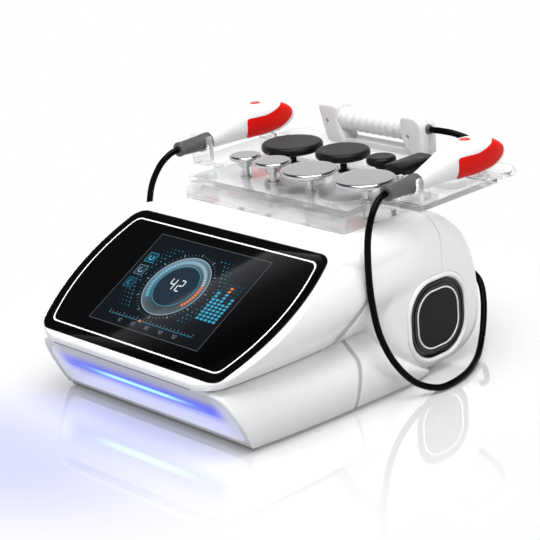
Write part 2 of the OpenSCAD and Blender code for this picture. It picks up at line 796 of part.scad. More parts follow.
// Electrodes: a round or square face on a hub and a plug-in stem
module electrode_stem(depth = stem_depth) {
    translate([0, 0, -depth]) cylinder(h = depth + electrode_rise - 4, r = stem_r);
    translate([0, 0, gap]) cylinder(h = 2, r = stem_r + 2.4);
    translate([0, 0, electrode_rise - 12]) cylinder(h = 8, r = stem_r + 3);
}

module chrome_electrode(e) {
    color("silver")
    translate([e[1], e[2], plate_z]) {
        electrode_stem();
        rotate_extrude() difference() {
            union() {
                translate([0, electrode_rise - chrome_t]) square([e[3] - chrome_t / 2, chrome_t]);
                translate([e[3] - chrome_t / 2, electrode_rise - chrome_t / 2]) circle(chrome_t / 2, $fn = 24);
            }
            translate([-20, 0]) square([20, 60]);
        }
    }
}

module black_electrode(e) {
    round_r = black_t * 0.4;
    color([0.1, 0.1, 0.1])
    translate([e[1], e[2], plate_z]) {
        electrode_stem();
        rotate_extrude() {
            translate([0, electrode_rise - black_t]) square([e[3] - round_r, black_t]);
            translate([0, electrode_rise - black_t + round_r]) square([e[3], black_t - 2 * round_r]);
            translate([e[3] - round_r, electrode_rise - round_r]) circle(round_r, $fn = 24);
            translate([e[3] - round_r, electrode_rise - black_t + round_r]) circle(round_r, $fn = 24);
        }
    }
}

square_len = 25;
module square_electrode(e) {
    corner = 4;
    color([0.1, 0.1, 0.1])
    translate([e[1], e[2], plate_z]) {
        electrode_stem();
        translate([0, 0, electrode_rise - black_t]) linear_extrude(black_t) {
            for (sx = [-1, 1], sy = [-1, 1])
                translate([sx * (square_len / 2 - corner), sy * (e[3] - corner)]) circle(corner);
            square([square_len, 2 * (e[3] - corner)], center = true);
            square([square_len - 2 * corner, 2 * e[3]], center = true);
        }
    }
}

// Handpieces: smooth curves through a few heights along the shell
function bend(p, i) = p[max(0, min(len(p) - 1, i))];
function glide(p, y) =
    let (i = max([for (k = [0:len(p) - 2]) y >= p[k][0] ? k : 0]),
         a = bend(p, i), b = bend(p, i + 1), t = clamp((y - a[0]) / (b[0] - a[0])),
         ma = (bend(p, i + 1)[1] - bend(p, i - 1)[1]) / (bend(p, i + 1)[0] - bend(p, i - 1)[0]),
         mb = (bend(p, i + 2)[1] - bend(p, i)[1]) / (bend(p, i + 2)[0] - bend(p, i)[0]),
         h = b[0] - a[0])
    (2 * t * t * t - 3 * t * t + 1) * a[1] + (t * t * t - 2 * t * t + t) * h * ma
    + (3 * t * t - 2 * t * t * t) * b[1] + (t * t * t - t * t) * h * mb;

// Distances run from the sleeve joint towards the head, heights from the handpiece axis
hand_top = [[0, 9.6], [24, 17], [50, 23.5], [74, 25.5], [96, 22.5], [112, 15], [123, 4]];
hand_low = [[0, -9.6], [24, -9], [50, -9], [74, -10.6], [96, -10], [112, -5.5], [123, 2.6]];
hand_half = [[0, 9.4], [24, 12.5], [50, 16.6], [74, 19.4], [96, 18.6], [112, 14], [121, 7.5], [124, 3]];
hand_len = 124;
function hand_foot(y) = hand_z + glide(hand_low, y - shell_front);

hand_stations = [0, 10, 22, 36, 50, 64, 78, 90, 100, 108, 115, 120, 123, 124];
hand_sides = 20;
module hand_solid(grow = 0) {
    skin([for (s = hand_stations)
        let (top = glide(hand_top, min(s, 123)) + grow,
             low = glide(hand_low, min(s, 123)) - grow,
             half = glide(hand_half, s) + grow,
             mid = (top + low) / 2,
             n = lerp(2, 2.5, ease(s / 60)),
             shrink = s > 123 ? 0.35 : 1)
        [for (j = [0:hand_sides - 1])
            let (a = -360 * j / hand_sides, c = cos(a), d = sin(a))
            [half * sign(c) * pow(abs(c), 2 / n), s,
             mid + shrink * (top - mid) * sign(d) * pow(abs(d), 2 / n)]]]);
}

module at_hand(side) {
    translate([side * hand_x, shell_front, hand_z]) children();
}

button_s = 71;
window_s = 104;
socket_s = 98;
socket_low = glide(hand_low, socket_s) - 1.4;
socket_wall = 1.7;
socket_deep = 8.4;
button_top = glide(hand_top, button_s);
module hand_button_hole() {
    translate([0, button_s, button_top - 6]) cylinder(h = 20, r = button_r + gap);
}

// Outline of the red grip pad seen from the side, distance and height
pad_edge = [[44, 14.5], [70, 14], [84, 17], [98, 20.5], [107, 19], [113, 13], [110, 5],
            [92, -3.5], [70, -7], [47, -8], [43.5, -4]];
module pad_prisms(grow) {
    for (m = [0, 1]) mirror([m, 0, 0]) rotate([90, 0, 90]) translate([0, 0, 9]) linear_extrude(20)
        offset(r = 3 + grow, $fn = 20) offset(delta = -3) polygon(pad_edge);
}

module hand_shell(side) {
    color("white")
    at_hand(side) difference() {
        hand_solid();
        hand_button_hole();
        difference() {
            pad_prisms(0.2);
            hand_solid(-1.6);
        }
        translate([-5.8, window_s - 1.8, glide(hand_top, window_s) - 2.2]) cube([11.6, 3.6, 9]);
        translate([0, socket_s, -20])
            cylinder(h = 20 + socket_low + socket_deep + 2, r = stem_r + gap + socket_wall);
    }
}

module hand_pads(side) {
    color("red")
    at_hand(side) difference() {
        intersection() {
            hand_solid(0.5);
            pad_prisms(0);
        }
        hand_solid(-1.5);
    }
}

module hand_button(side) {
    color("red")
    at_hand(side) translate([0, button_s, button_top - 6 + gap + button_travel]) {
        cylinder(h = 6, r = button_r - 1);
        translate([0, 0, 1]) cylinder(h = 4.2 - button_travel, r = button_r);
        translate([0, 0, 5.2 - button_travel]) cylinder(h = 0.8, r1 = button_r, r2 = button_r - 0.8);
    }
}

module hand_window(side) {
    color("black")
    at_hand(side) translate([-5.6, window_s - 1.6, glide(hand_top, window_s) - 2.2]) cube([11.2, 3.2, 2]);
}

module hand_socket(side) {
    color("silver")
    at_hand(side) translate([0, socket_s, socket_low]) difference() {
        cylinder(h = socket_deep + 2, r = stem_r + gap + socket_wall);
        translate([0, 0, -1]) cylinder(h = socket_deep + 1, r = stem_r + gap);
    }
}

module hand_sleeve(side) {
    end_r = 7.9;
    color("gray")
    at_hand(side) rotate([90, 0, 0]) rotate_extrude() polygon([
        [0, 0], [sleeve_r, 0], [sleeve_r, 8], [sleeve_r - 0.5, 10], [end_r + 0.4, sleeve_len - 3],
        [end_r + 0.4, sleeve_len - 1], [end_r - 0.6, sleeve_len], [0, sleeve_len]]);
}

// Bar grip: two moulded halves, with a contact plate on the slanted left end
grip_z = plate_z + gap;
grip_top = grip_z + grip_h;
rib_r = 2.2;
hold_z = grip_z + hold_rise;
outlet_z = grip_z + outlet_rise;
hold_left = grip_left + 30;
hold_right = grip_right - 29;
rib_step = (hold_right - hold_left - 4) / rib_count;
left_leg = [[grip_left + 1.5, grip_top - 1], [grip_left + 14.5, grip_z], [hold_left + 12, grip_z],
    [hold_left + 1, hold_z], [hold_left + 1, grip_top]];
right_block = [[hold_right - 1, grip_top], [hold_right - 1, hold_z - 6], [hold_right + 11, grip_z],
    [grip_right, grip_z], [grip_right, grip_z + 34], [grip_right - 9, grip_top]];
module end_block(profile) {
    translate([0, grip_y, 0]) rotate([90, 0, 0]) hull() {
        linear_extrude(grip_depth - 2 * grip_chamfer, center = true)
            offset(r = 3, $fn = 20) offset(delta = -3) polygon(profile);
        linear_extrude(grip_depth, center = true)
            offset(r = 1, $fn = 20) offset(delta = -1 - grip_chamfer) polygon(profile);
    }
}

module grip_solid() {
    end_block(left_leg);
    end_block(right_block);
    translate([hold_left, grip_y - grip_depth / 2 + 3, grip_z])
        cube([hold_right - hold_left + 12, grip_depth - 6, foot_bar]);
    translate([hold_left, grip_y, hold_z]) rotate([0, 90, 0]) {
        cylinder(h = hold_right - hold_left, r = grip_r);
        for (i = [0:rib_count - 1]) translate([0, 0, 2 + (i + 0.5) * rib_step])
            rotate_extrude() translate([grip_r - 0.8, 0]) scale([1, 1.5]) circle(rib_r, $fn = 20);
    }
}

grip_screw_spots = [[grip_left + 16, grip_z + 23], [grip_right - 19, grip_z + 20.5]];
module grip_half(s) {
    color("white")
    difference() {
        intersection() {
            grip_solid();
            translate([-200, s > 0 ? grip_y + 0.1 : grip_y - 100, 0]) cube([400, 99.9, 400]);
        }
        if (s < 0) for (p = grip_screw_spots)
            translate([p[0], grip_y - grip_depth / 2 - 1, p[1]]) rotate([-90, 0, 0]) cylinder(h = 4, r = 2.6);
        translate([grip_right - 12, grip_y, outlet_z]) rotate([0, 90, 0]) cylinder(h = 30, r = 5.2);
    }
}

module grip_screws() {
    color("silver") for (p = grip_screw_spots)
        translate([p[0], grip_y - grip_depth / 2 + 1.6, p[1]]) rotate([-90, 0, 0]) cylinder(h = 1.4, r = 2.4);
}

module grip_plate() {
    lean_angle = atan(13 / (grip_h - 1));
    color("dimgray")
    translate([grip_left + 14.5, grip_y - grip_depth / 2 + grip_chamfer, grip_z])
        rotate([0, -lean_angle, 0]) translate([-1.5, 0, 4])
            cube([1.5, grip_depth - 2 * grip_chamfer, grip_h - 9]);
}

module grip_gland() {
    color("black")
    translate([grip_right - 12, grip_y, outlet_z]) rotate([0, 90, 0]) {
        cylinder(h = 12.5, r = 5);
        translate([0, 0, 12.5]) cylinder(h = 2.5, r1 = 4.8, r2 = cord_r + 0.6);
    }
}

// Cords: hand-chosen points, smoothed, then swept with a round section
right_route = [[148, 13.6, 200.6], [148, 9.5, 200.2], [149.3, 3, 197.6], [152.1, -9.9, 187],
    [155.2, -20.8, 165.9], [157.7, -25, 133.1], [158, -22.4, 100.7], [157.8, -14.5, 69.3],
    [163, -3, 40.4], [172, 14, 17], [180, 36, 5.5], [181, 60, 3.6],
    [174, 90, 3.8], [160, 120, 6], [147, 142, 14], [137, 158, 28], [126, 172, 44], [112, 184, 56],
    [97, 189, 62.5], [85, 185, 64], [82, 177.6, 64]];
left_route = [for (p = right_route) [-p[0], p[1], p[2]]];
grip_route = [[57.3, 181, 210.7], [70, 181.5, 211.2], [86, 185, 209.5], [101, 194, 202], [108, 207, 189],
    [101, 218, 172], [70, 218, 157], [37, 216, 144], [9, 212, 132], [-7, 206, 121], [-7, 200, 112],
    [3, 190, 104.5], [12, 183, 102.2], [12, 177.6, 102]];

function smooth_route(p, k) = concat([for (i = [0:len(p) - 2], j = [0:k - 1])
    let (t = j / k, a = bend(p, i - 1), b = p[i], c = p[i + 1], d = bend(p, i + 2))
    0.5 * ((2 * b) + (c - a) * t + (2 * a - 5 * b + 4 * c - d) * t * t
        + (3 * b - a - 3 * c + d) * t * t * t)], [p[len(p) - 1]]);
function unit(v) = v / norm(v);
function heading(p, i) = unit(bend(p, i + 1) - bend(p, i - 1));
function carry(side, way) = unit(side - (side * way) * way);
function side_walk(p, i) = i == 0 ? carry([0.2, 0.1, 1], heading(p, 0))
    : carry(side_walk(p, i - 1), heading(p, i));

module cord(route, split = 2, sides = 8) {
    path = smooth_route(route, split);
    skin([for (i = [0:len(path) - 1])
        let (way = heading(path, i), u = side_walk(path, i), v = cross(u, way))
        [for (j = [0:sides - 1]) let (a = -360 * j / sides)
            path[i] + cord_r * (cos(a) * u + sin(a) * v)]]);
}

module right_cord() { color("black") cord(right_route); }
module left_cord() { color("black") cord(left_route); }
module grip_cord() { color("black") cord(grip_route); }

module cord_plugs() {
    color("black") for (p = socket_spots) panel_point(p) {
        translate([0, 0, -7]) cylinder(h = 7 + panel_t + 2.3, r = 6);
        translate([0, 0, panel_t + 2 + gap]) cylinder(h = plug_len, r = 8);
        translate([0, 0, panel_t + 2 + gap + plug_len]) cylinder(h = relief_len, r1 = 5.6, r2 = cord_r + 0.4);
    }
}

base_shell();
bottom_cover();
rubber_feet();
light_panel();
led_strip();
screen_housing();
screen_glass();
glass_line();
lcd_module();
middle_housing();
rear_cover();
side_lips();
side_rings();
side_lines();
side_caps();
rear_panel();
power_inlet();
power_switch();
cord_sockets();
fan_frame();
fan_rotor();
fan_guard();
main_board();
rf_module();
power_supply();
tray_block();
tray_plate();
front_holders();
rear_holders();
for (e = electrode_spots) union() {
    if (e[0] == "black_electrode_square") square_electrode(e);
    else if (e[0][0] == "b") black_electrode(e);
    else chrome_electrode(e);
}
hand_shell(-1);  // left_shell
hand_pads(-1);  // left_pads
hand_button(-1);  // left_button
hand_window(-1);  // left_window
hand_socket(-1);  // left_socket
hand_sleeve(-1);  // left_sleeve
hand_shell(1);  // right_shell
hand_pads(1);  // right_pads
hand_button(1);  // right_button
hand_window(1);  // right_window
hand_socket(1);  // right_socket
hand_sleeve(1);  // right_sleeve
grip_half(-1);  // grip_front_half
grip_half(1);  // grip_rear_half
grip_screws();
grip_plate();
grip_gland();
left_cord();
right_cord();
grip_cord();
cord_plugs();
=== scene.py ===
# %% [markdown]
# # A desktop diathermy machine
# The machine is a low white housing with a sloping glass screen, a drum at the back and a clear tray on top.
# Every piece here is a surface worked out with numpy in millimetres, in the same frame as the CAD model:
# +Z is up, the screen looks towards -Y, and the origin is on the table. The CAD model is loaded first, and
# each surface then stands for the CAD solid of the same name and moves with its body.

# %% Load the frame
import math

import bmesh
import bpy
import numpy as np
from mathutils import Matrix

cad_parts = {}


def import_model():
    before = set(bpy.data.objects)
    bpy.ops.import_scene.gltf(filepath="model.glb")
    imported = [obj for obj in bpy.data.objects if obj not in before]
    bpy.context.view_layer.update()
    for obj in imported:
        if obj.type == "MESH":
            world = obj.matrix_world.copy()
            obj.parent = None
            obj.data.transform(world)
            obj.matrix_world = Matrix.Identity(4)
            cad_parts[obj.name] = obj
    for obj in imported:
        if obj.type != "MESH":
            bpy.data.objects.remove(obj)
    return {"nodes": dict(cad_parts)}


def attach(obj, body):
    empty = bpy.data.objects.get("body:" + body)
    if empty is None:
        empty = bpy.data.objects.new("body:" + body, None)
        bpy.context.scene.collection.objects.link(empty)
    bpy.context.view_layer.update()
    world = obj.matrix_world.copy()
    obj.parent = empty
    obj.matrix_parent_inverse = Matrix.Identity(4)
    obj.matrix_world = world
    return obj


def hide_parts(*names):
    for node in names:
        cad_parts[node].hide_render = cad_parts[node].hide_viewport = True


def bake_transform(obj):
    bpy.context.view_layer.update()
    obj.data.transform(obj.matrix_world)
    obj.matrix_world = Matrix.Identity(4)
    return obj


MM = 0.001
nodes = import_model()["nodes"]
scene = bpy.context.scene

# %% [markdown]
# ## Camera
# The view was found by fitting the corners of the display, the foot of the base, the drum ring and the tray.
# It looks down 19 degrees from the front right, and is turned a few degrees about its own axis. A long lens
# keeps the lines nearly parallel, as in a catalogue photograph.

# %% Camera
AZIMUTH, ELEVATION, ROLL = (math.radians(angle) for angle in (47.8, 18.8, 4.6))
FOCAL_PIXELS, PICTURE_PIXELS, SENSOR = 1800.0, 540, 36.0
AIM, SHIFT_RIGHT, SHIFT_UP = np.array([0, 0, 100.0]), -3.1, 0.5


def linked(name, data):
    """A new object with its data, in the scene."""
    obj = bpy.data.objects.new(name, data)
    scene.collection.objects.link(obj)
    return obj


def facing(right, up, back, place):
    """The matrix of an object at a place whose X, Y and Z axes point to the right, up and to the back."""
    return Matrix([[right[i], up[i], back[i], place[i]] for i in range(3)] + [[0, 0, 0, 1]])


def camera_axes():
    """Right, up and back of the camera at its azimuth and elevation, turned by the roll about its line of sight."""
    right = np.array([math.cos(AZIMUTH), math.sin(AZIMUTH), 0.0])
    back = np.array([
        math.sin(AZIMUTH) * math.cos(ELEVATION),
        -math.cos(AZIMUTH) * math.cos(ELEVATION),
        math.sin(ELEVATION),
    ])
    up = np.cross(back, right)
    turned_right = math.cos(ROLL) * right - math.sin(ROLL) * up
    turned_up = math.sin(ROLL) * right + math.cos(ROLL) * up
    return turned_right, turned_up, back


cam_right, cam_up, cam_back = camera_axes()
cam_place = (AIM + cam_back * FOCAL_PIXELS + cam_right * SHIFT_RIGHT + cam_up * SHIFT_UP) / 1000
camera = linked("camera", bpy.data.cameras.new("camera"))
camera.data.sensor_width = SENSOR
camera.data.lens = SENSOR * FOCAL_PIXELS / PICTURE_PIXELS
camera.data.clip_start, camera.data.clip_end = 0.05, 30
camera.matrix_world = facing(cam_right, cam_up, cam_back, cam_place)
scene.camera = camera
scene.view_settings.view_transform = "Standard"
print("camera at", cam_place.round(4), "lens", camera.data.lens)

# %% [markdown]
# ## Meshes from grids
# A curved part of a moulding is a grid of points: rings of equal length, one behind the other. The faces
# between two rings are always the same, so they are worked out once for any grid. A piece can be made of
# several such grids. Its doubles are merged, its normals are turned outwards, and edges sharper than an
# angle stay crisp while the rest is shaded smooth.


# %% Grid helpers
def angles(start, end, count):
    """Angles in radians, from one in degrees to another."""
    return np.radians(np.linspace(start, end, count))


def close_ends(count):
    """Places from 0 to 1, close together at both ends."""
    return (1 - np.cos(angles(0, 180, count))) / 2


def both_halves(right):
    """A closed outline (count, 3) from its right half."""
    return np.concatenate([right, right[::-1] * np.array([-1, 1, 1])])


def ring_faces(rings, count, closed=True):
    """Quads between neighbouring rings of count points: point j of ring i meets j + 1 and ring i + 1."""
    i = np.arange(rings - 1)[:, None] * count
    j = np.arange(count if closed else count - 1)[None, :]
    k = (j + 1) % count
    return np.stack([i + j, i + k, i + count + k, i + count + j], -1).reshape(-1, 4)


def strip_cap(start, count):
    """Closes a left-right symmetric ring by strips: point j meets its partner count - 1 - j."""
    j = np.arange(count // 2 - 1)
    return start + np.stack([j, j + 1, count - 2 - j, count - 1 - j], -1)


def fan_cap(start, count, centre):
    """Closes a ring with triangles to one centre point."""
    j = np.arange(count)
    return np.stack([start + j, start + (j + 1) % count, np.full(count, centre)], -1)


def loft(rings, cap="strip"):
    """A closed skin over rings (rings, count, 3). The two ends are closed by strips or by a fan."""
    rings = np.asarray(rings, float)
    n, count, _ = rings.shape
    faces = ring_faces(n, count).tolist()
    points = rings.reshape(-1, 3)
    if cap == "strip":
        faces += strip_cap(0, count).tolist() + strip_cap((n - 1) * count, count).tolist()
    else:
        faces += fan_cap(0, count, len(points)).tolist()
        faces += fan_cap((n - 1) * count, count, len(points) + 1).tolist()
        points = np.vstack([points, rings[[0, -1]].mean(1)])
    return points, faces


def torus_grid(rings):
    """A skin over rings that closes on itself both ways, such as a bead round an outline."""
    rings = np.asarray(rings, float)
    n, count, _ = rings.shape
    return rings.reshape(-1, 3), (ring_faces(n + 1, count) % (n * count)).tolist()


def lathe(profile, sides=64, centre=(0, 0, 0), axis="z"):
    """A profile of (radius, distance) pairs turned about an axis: x = r cos a, y = r sin a, z = distance."""
    profile = np.asarray(profile, float)
    angle = np.radians(np.arange(sides) * 360.0 / sides)
    radius, along = profile.T[:, :, None]
    a, b = radius * np.cos(angle), radius * np.sin(angle)
    c = np.broadcast_to(along, a.shape)
    order = {"z": (a, b, c), "x": (c, a, b), "y": (b, c, a)}[axis]
    rings = np.stack(order, -1) + np.asarray(centre, float)
    n, count, _ = rings.shape
    return rings.reshape(-1, 3), ring_faces(n, count).tolist()


def joined(shapes):
    """Several (points, faces) pairs as one."""
    points, faces, start = [], [], 0
    for p, f in shapes:
        points.append(np.asarray(p, float))
        faces += [[start + k for k in face] for face in f]
        start += len(p)
    return np.vstack(points), faces


def raw_mesh(name, points, faces):
    """A mesh from points in metres, as they are."""
    mesh = bpy.data.meshes.new(name)
    mesh.from_pydata(np.asarray(points).tolist(), [], faces)
    return mesh


def make_object(name, shapes, crisp=35.0):
    """A mesh object at the origin from shapes in millimetres, merged, closed and facing outwards."""
    points, faces = joined(shapes)
    mesh = raw_mesh(name, points * MM, faces)
    work = bmesh.new()
    work.from_mesh(mesh)
    bmesh.ops.remove_doubles(work, verts=work.verts, dist=1e-6)
    bmesh.ops.dissolve_degenerate(work, edges=work.edges, dist=1e-7)
    bmesh.ops.recalc_face_normals(work, faces=work.faces)
    work.to_mesh(mesh)
    work.free()
    shade(mesh, crisp)
    return linked(name, mesh)


def shade(mesh, crisp):
    """Smooth shading, with edges sharper than the angle left crisp."""
    mesh.shade_smooth()
    mesh.set_sharp_from_angle(angle=math.radians(crisp))


def carve(obj, cutters, how="DIFFERENCE", crisp=35.0):
    """Cuts obj with the cutter objects, keeps the result as its mesh and removes the cutters."""
    for cutter in cutters:
        cut = obj.modifiers.new("cut", "BOOLEAN")
        cut.operation, cut.solver, cut.object = how, "EXACT", cutter
    bpy.context.view_layer.update()
    result = bpy.data.meshes.new_from_object(obj.evaluated_get(bpy.context.evaluated_depsgraph_get()))
    obj.modifiers.clear()
    result.name = obj.name
    obj.data = result
    for cutter in cutters:
        bpy.data.objects.remove(cutter)
    shade(result, crisp)
    return obj


def soften(obj, width, segments=3, angle=30.0):
    """A small rounded bevel on every edge sharper than the angle, as a mould leaves it."""
    bevel = obj.modifiers.new("soft edges", "BEVEL")
    bevel.width, bevel.segments = width * MM, segments
    bevel.limit_method, bevel.angle_limit = "ANGLE", math.radians(angle)
    bevel.harden_normals = True
    return obj


finish = {}


def fit(obj, slot, body, *stands_for, look=""):
    """Gives the piece the finish of its slot, or another look, its body and the CAD solids that it stands for."""
    obj.data.materials.clear()
    obj.data.materials.append(finish[look or slot])
    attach(obj, body)
    if stands_for:
        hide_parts(*stands_for)
    return obj


def part(name, shapes, crisp, slot, *stands_for, body="machine"):
    """A piece made of shapes, with all that fit gives it."""
    return fit(make_object(name, shapes, crisp), slot, body, *stands_for)


# %% [markdown]
# ## Node groups
# Two effects are node groups with their own inputs, so that every material can use them at its own strength.
# Moulded plastic is never perfectly even: it has a faint ripple in its skin, a slight drift in tone and an
# uneven gloss. A disc turned on a lathe has fine rings about its centre.


# %% Node helpers and shared groups
def new_group(name, inputs, outputs):
    """A shader node group with float inputs, a vector one where its value is a triple, and float outputs."""
    group = bpy.data.node_groups.new(name, "ShaderNodeTree")
    for label, value in inputs.items():
        kind = "NodeSocketVector" if isinstance(value, tuple) else "NodeSocketFloat"
        group.interface.new_socket(name=label, in_out="INPUT", socket_type=kind).default_value = value
    for label in outputs:
        group.interface.new_socket(name=label, in_out="OUTPUT", socket_type="NodeSocketFloat")
    return group, group.nodes.new("NodeGroupInput").outputs, group.nodes.new("NodeGroupOutput")


def feed(made, **values):
    """Fills inputs of a node by name or number: a socket is linked, anything else becomes the value."""
    for key, value in values.items():
        socket = made.inputs[int(key) if key.isdigit() else key.replace("_", " ")]
        if isinstance(value, bpy.types.NodeSocket):
            made.id_data.links.new(value, socket)
        else:
            socket.default_value = value


def node(tree, kind, **values):
    """A node of that kind with its attributes set. Keys that start with in_ fill its inputs."""
    made = tree.nodes.new(kind)
    for key, value in values.items():
        if key.startswith("in_"):
            feed(made, **{key[3:]: value})
        else:
            setattr(made, key, value)
    return made


def maths(tree, operation, a, b=0.0, clamp=False):
    """The output of a Math node."""
    return node(tree, "ShaderNodeMath", operation=operation, in_0=a, in_1=b, use_clamp=clamp).outputs[0]


def scaled(tree, value, by, plus, clamp=False):
    """value * by + plus."""
    return maths(tree, "ADD", maths(tree, "MULTIPLY", value, by), plus, clamp)


def vector(tree, operation, a, b):
    """The vector that a Vector Math node gives."""
    return node(tree, "ShaderNodeVectorMath", operation=operation, in_0=a, in_1=b).outputs[0]


def length(tree, value):
    """The length of a vector."""
    return node(tree, "ShaderNodeVectorMath", operation="LENGTH", in_0=value).outputs["Value"]


def ranged(tree, value, start, end, kind="LINEAR"):
    """The value carried from start to end onto 0 to 1, and held there."""
    return node(tree, "ShaderNodeMapRange", in_0=value, in_1=start, in_2=end, interpolation_type=kind).outputs[0]


def mixed(tree, factor, first, second, how="MIX"):
    """The colour between a first one at 0 and a second one at 1."""
    return node(tree, "ShaderNodeMix", data_type="RGBA", blend_type=how, in_0=factor, in_6=first,
                in_7=second).outputs[2]


def ramped(tree, value, stops):
    """The colour of a ramp through (place, colour) stops."""
    ramp = node(tree, "ShaderNodeValToRGB", in_0=value)
    while len(ramp.color_ramp.elements) < len(stops):
        ramp.color_ramp.elements.new(0.5)
    for element, (place, colour) in zip(ramp.color_ramp.elements, stops):
        element.position, element.color = place, (*colour, 1)
    return ramp.outputs[0]


def bumped(tree, strength, distance, height):
    """The normal that a height gives."""
    return node(tree, "ShaderNodeBump", in_Strength=strength, in_Distance=distance, in_Height=height).outputs[0]


def own_place(tree):
    """Coordinates of the object itself."""
    return node(tree, "ShaderNodeTexCoord").outputs["Object"]


def noise(tree, place, scale, detail, **more):
    """The value of a noise."""
    return node(tree, "ShaderNodeTexNoise", in_Vector=place, in_Scale=scale, in_Detail=detail, **more).outputs["Fac"]


def moulding_group():
    """Ripple and tone of moulded plastic: two noises on Object coordinates, one coarse and one fine."""
    group, into, out = new_group("moulding", dict(Scale=60.0, Fine=900.0, Drift=0.02), ("Height", "Tone", "Gloss"))
    place = own_place(group)
    coarse = noise(group, place, into["Scale"], 2.0)
    fine = noise(group, place, into["Fine"], 3.0)
    drift = maths(group, "MULTIPLY", maths(group, "SUBTRACT", coarse, 0.5), into["Drift"])
    feed(out, Height=maths(group, "ADD", maths(group, "MULTIPLY", coarse, 0.8), maths(group, "MULTIPLY", fine, 0.2)),
         Tone=maths(group, "ADD", drift, 1.0), Gloss=maths(group, "SUBTRACT", fine, 0.5))
    return group


def brushed_group():
    """Fine turned rings about a centre: noise read along the radius only, so that it turns into circles."""
    group, into, out = new_group("brushed", dict(Centre=(0, 0, 0), Fineness=3000.0), ("Height", "Tone"))
    offset = vector(group, "SUBTRACT", own_place(group), into["Centre"])
    parts = node(group, "ShaderNodeSeparateXYZ", in_0=offset).outputs
    squares = [maths(group, "MULTIPLY", part, part) for part in parts[:2]]
    radius = maths(group, "SQRT", maths(group, "ADD", *squares))
    line = node(group, "ShaderNodeCombineXYZ", in_0=radius).outputs[0]
    rings = noise(group, line, into["Fineness"], 4.0, in_Roughness=0.7)
    feed(out, Height=rings, Tone=rings)
    return group


MOULDING, BRUSHED = moulding_group(), brushed_group()


def principled(name, **sockets):
    """A new finish: its tree, ready for more nodes, and its Principled BSDF with inputs set by name."""
    finish[name] = bpy.data.materials.new(name)
    finish[name].use_nodes = True
    tree = finish[name].node_tree
    tree.nodes.clear()
    shader = node(tree, "ShaderNodeBsdfPrincipled")
    feed(shader, **sockets)
    node(tree, "ShaderNodeOutputMaterial", in_Surface=shader.outputs[0])
    return tree, shader


def moulded(name, colour, roughness, scale=60.0, fine=900.0, drift=0.03, bump=0.02, depth=0.0004, **sockets):
    """Moulded plastic or rubber: its colour drifts a little, its gloss is uneven and its skin ripples."""
    tree, shader = principled(name, **sockets)
    skin = node(tree, "ShaderNodeGroup", node_tree=MOULDING, in_Scale=scale, in_Fine=fine, in_Drift=drift).outputs
    feed(shader, Base_Color=mixed(tree, 1.0, (*colour, 1.0), skin["Tone"], "MULTIPLY"),
         Roughness=scaled(tree, skin["Gloss"], roughness * 0.35, roughness, True),
         Normal=bumped(tree, bump, depth, skin["Height"]))


# %% [markdown]
# ## Finishes
# The housings are glossy white plastic with a clear top coat. The small parts repeat it a little less glossy,
# and in a darker white that is painted shade, so that they don't outshine the housings under the lamps.
# Black comes in four kinds: the glass, the polished ring, the matt cap and the cords. The grip pads are red
# soft plastic, and the sleeves are grey rubber.

# %% Plastics and rubbers
moulded("white_shell", (0.80, 0.805, 0.81), 0.20, 25, 700, 0.02, 0.04, 0.0003,
        Coat_Weight=0.5, Coat_Roughness=0.04, IOR=1.5)
# painted shade: the housings' white made darker for the small parts, which catch more of the lamps
moulded("white_part", (0.63, 0.634, 0.64), 0.28, 60, 1200, 0.03, 0.05, 0.0003,
        Coat_Weight=0.35, Coat_Roughness=0.08, IOR=1.5)
moulded("gloss_black", (0.004, 0.004, 0.005), 0.10, 50, 1200, 0.05, 0.02, 0.0002,
        Coat_Weight=0.25, Coat_Roughness=0.03, IOR=1.3)
moulded("matt_black", (0.007, 0.007, 0.0075), 0.5, 400, 3200, 0.08, 0.3, 0.0002, IOR=1.25)
moulded("dark_cover", (0.30, 0.305, 0.315), 0.45, 300, 2500, 0.08, 0.2, 0.0002)
moulded("rubber_black", (0.012, 0.012, 0.013), 0.7, 500, 4000, 0.1, 0.3, 0.0002)
moulded("pad_red", (0.56, 0.004, 0.001), 0.45, 150, 2600, 0.08, 0.15, 0.0002, IOR=1.2)
moulded("button_red", (0.55, 0.012, 0.008), 0.25, 200, 2000, 0.05, 0.05, 0.0002, Coat_Weight=0.5)
moulded("sleeve_grey", (0.07, 0.071, 0.073), 0.42, 220, 2600, 0.08, 0.2, 0.0002)
moulded("cord_black", (0.002, 0.002, 0.0025), 0.1, 120, 2400, 0.1, 0.05, 0.0002, IOR=1.12)
moulded("black_disc", (0.004, 0.004, 0.0045), 0.34, 220, 2600, 0.1, 0.1, 0.0002, IOR=1.25)
moulded("white_line", (0.86, 0.87, 0.88), 0.3, 200, 2000, 0.02, 0.02, 0.0001)
moulded("panel_grey", (0.44, 0.442, 0.448), 0.4, 350, 3000, 0.06, 0.3, 0.0002)
moulded("switch_red", (0.55, 0.02, 0.02), 0.25, 200, 2000, 0.05, 0.05, 0.0002, Coat_Weight=0.4)
moulded("fan_black", (0.03, 0.03, 0.032), 0.4, 300, 2500, 0.08, 0.15, 0.0002)
print("plastics ready")

# %% [markdown]
# ## Metals, acrylic and boards
# The chrome discs have finely turned faces that spread the light into soft wedges, and polished edges. The
# tray is clear acrylic, a little milky in its depth. The parts inside the housing are plain: a green board,
# folded metal cases and nickel-plated sockets.


# %% Metals, acrylic and boards
def turned_chrome(name, centre):
    """Chrome with fine rings about the disc's own centre, cut into the bump and the roughness."""
    tree, shader = principled(name, Metallic=1.0, IOR=2.2)
    rings = node(tree, "ShaderNodeGroup", node_tree=BRUSHED, in_Centre=(centre[0] * MM, centre[1] * MM, 0)).outputs
    feed(shader, Base_Color=mixed(tree, rings["Tone"], (0.40, 0.40, 0.41, 1), (0.62, 0.62, 0.63, 1)),
         Roughness=scaled(tree, rings["Tone"], 0.16, 0.06), Normal=bumped(tree, 0.12, 0.0001, rings["Height"]))


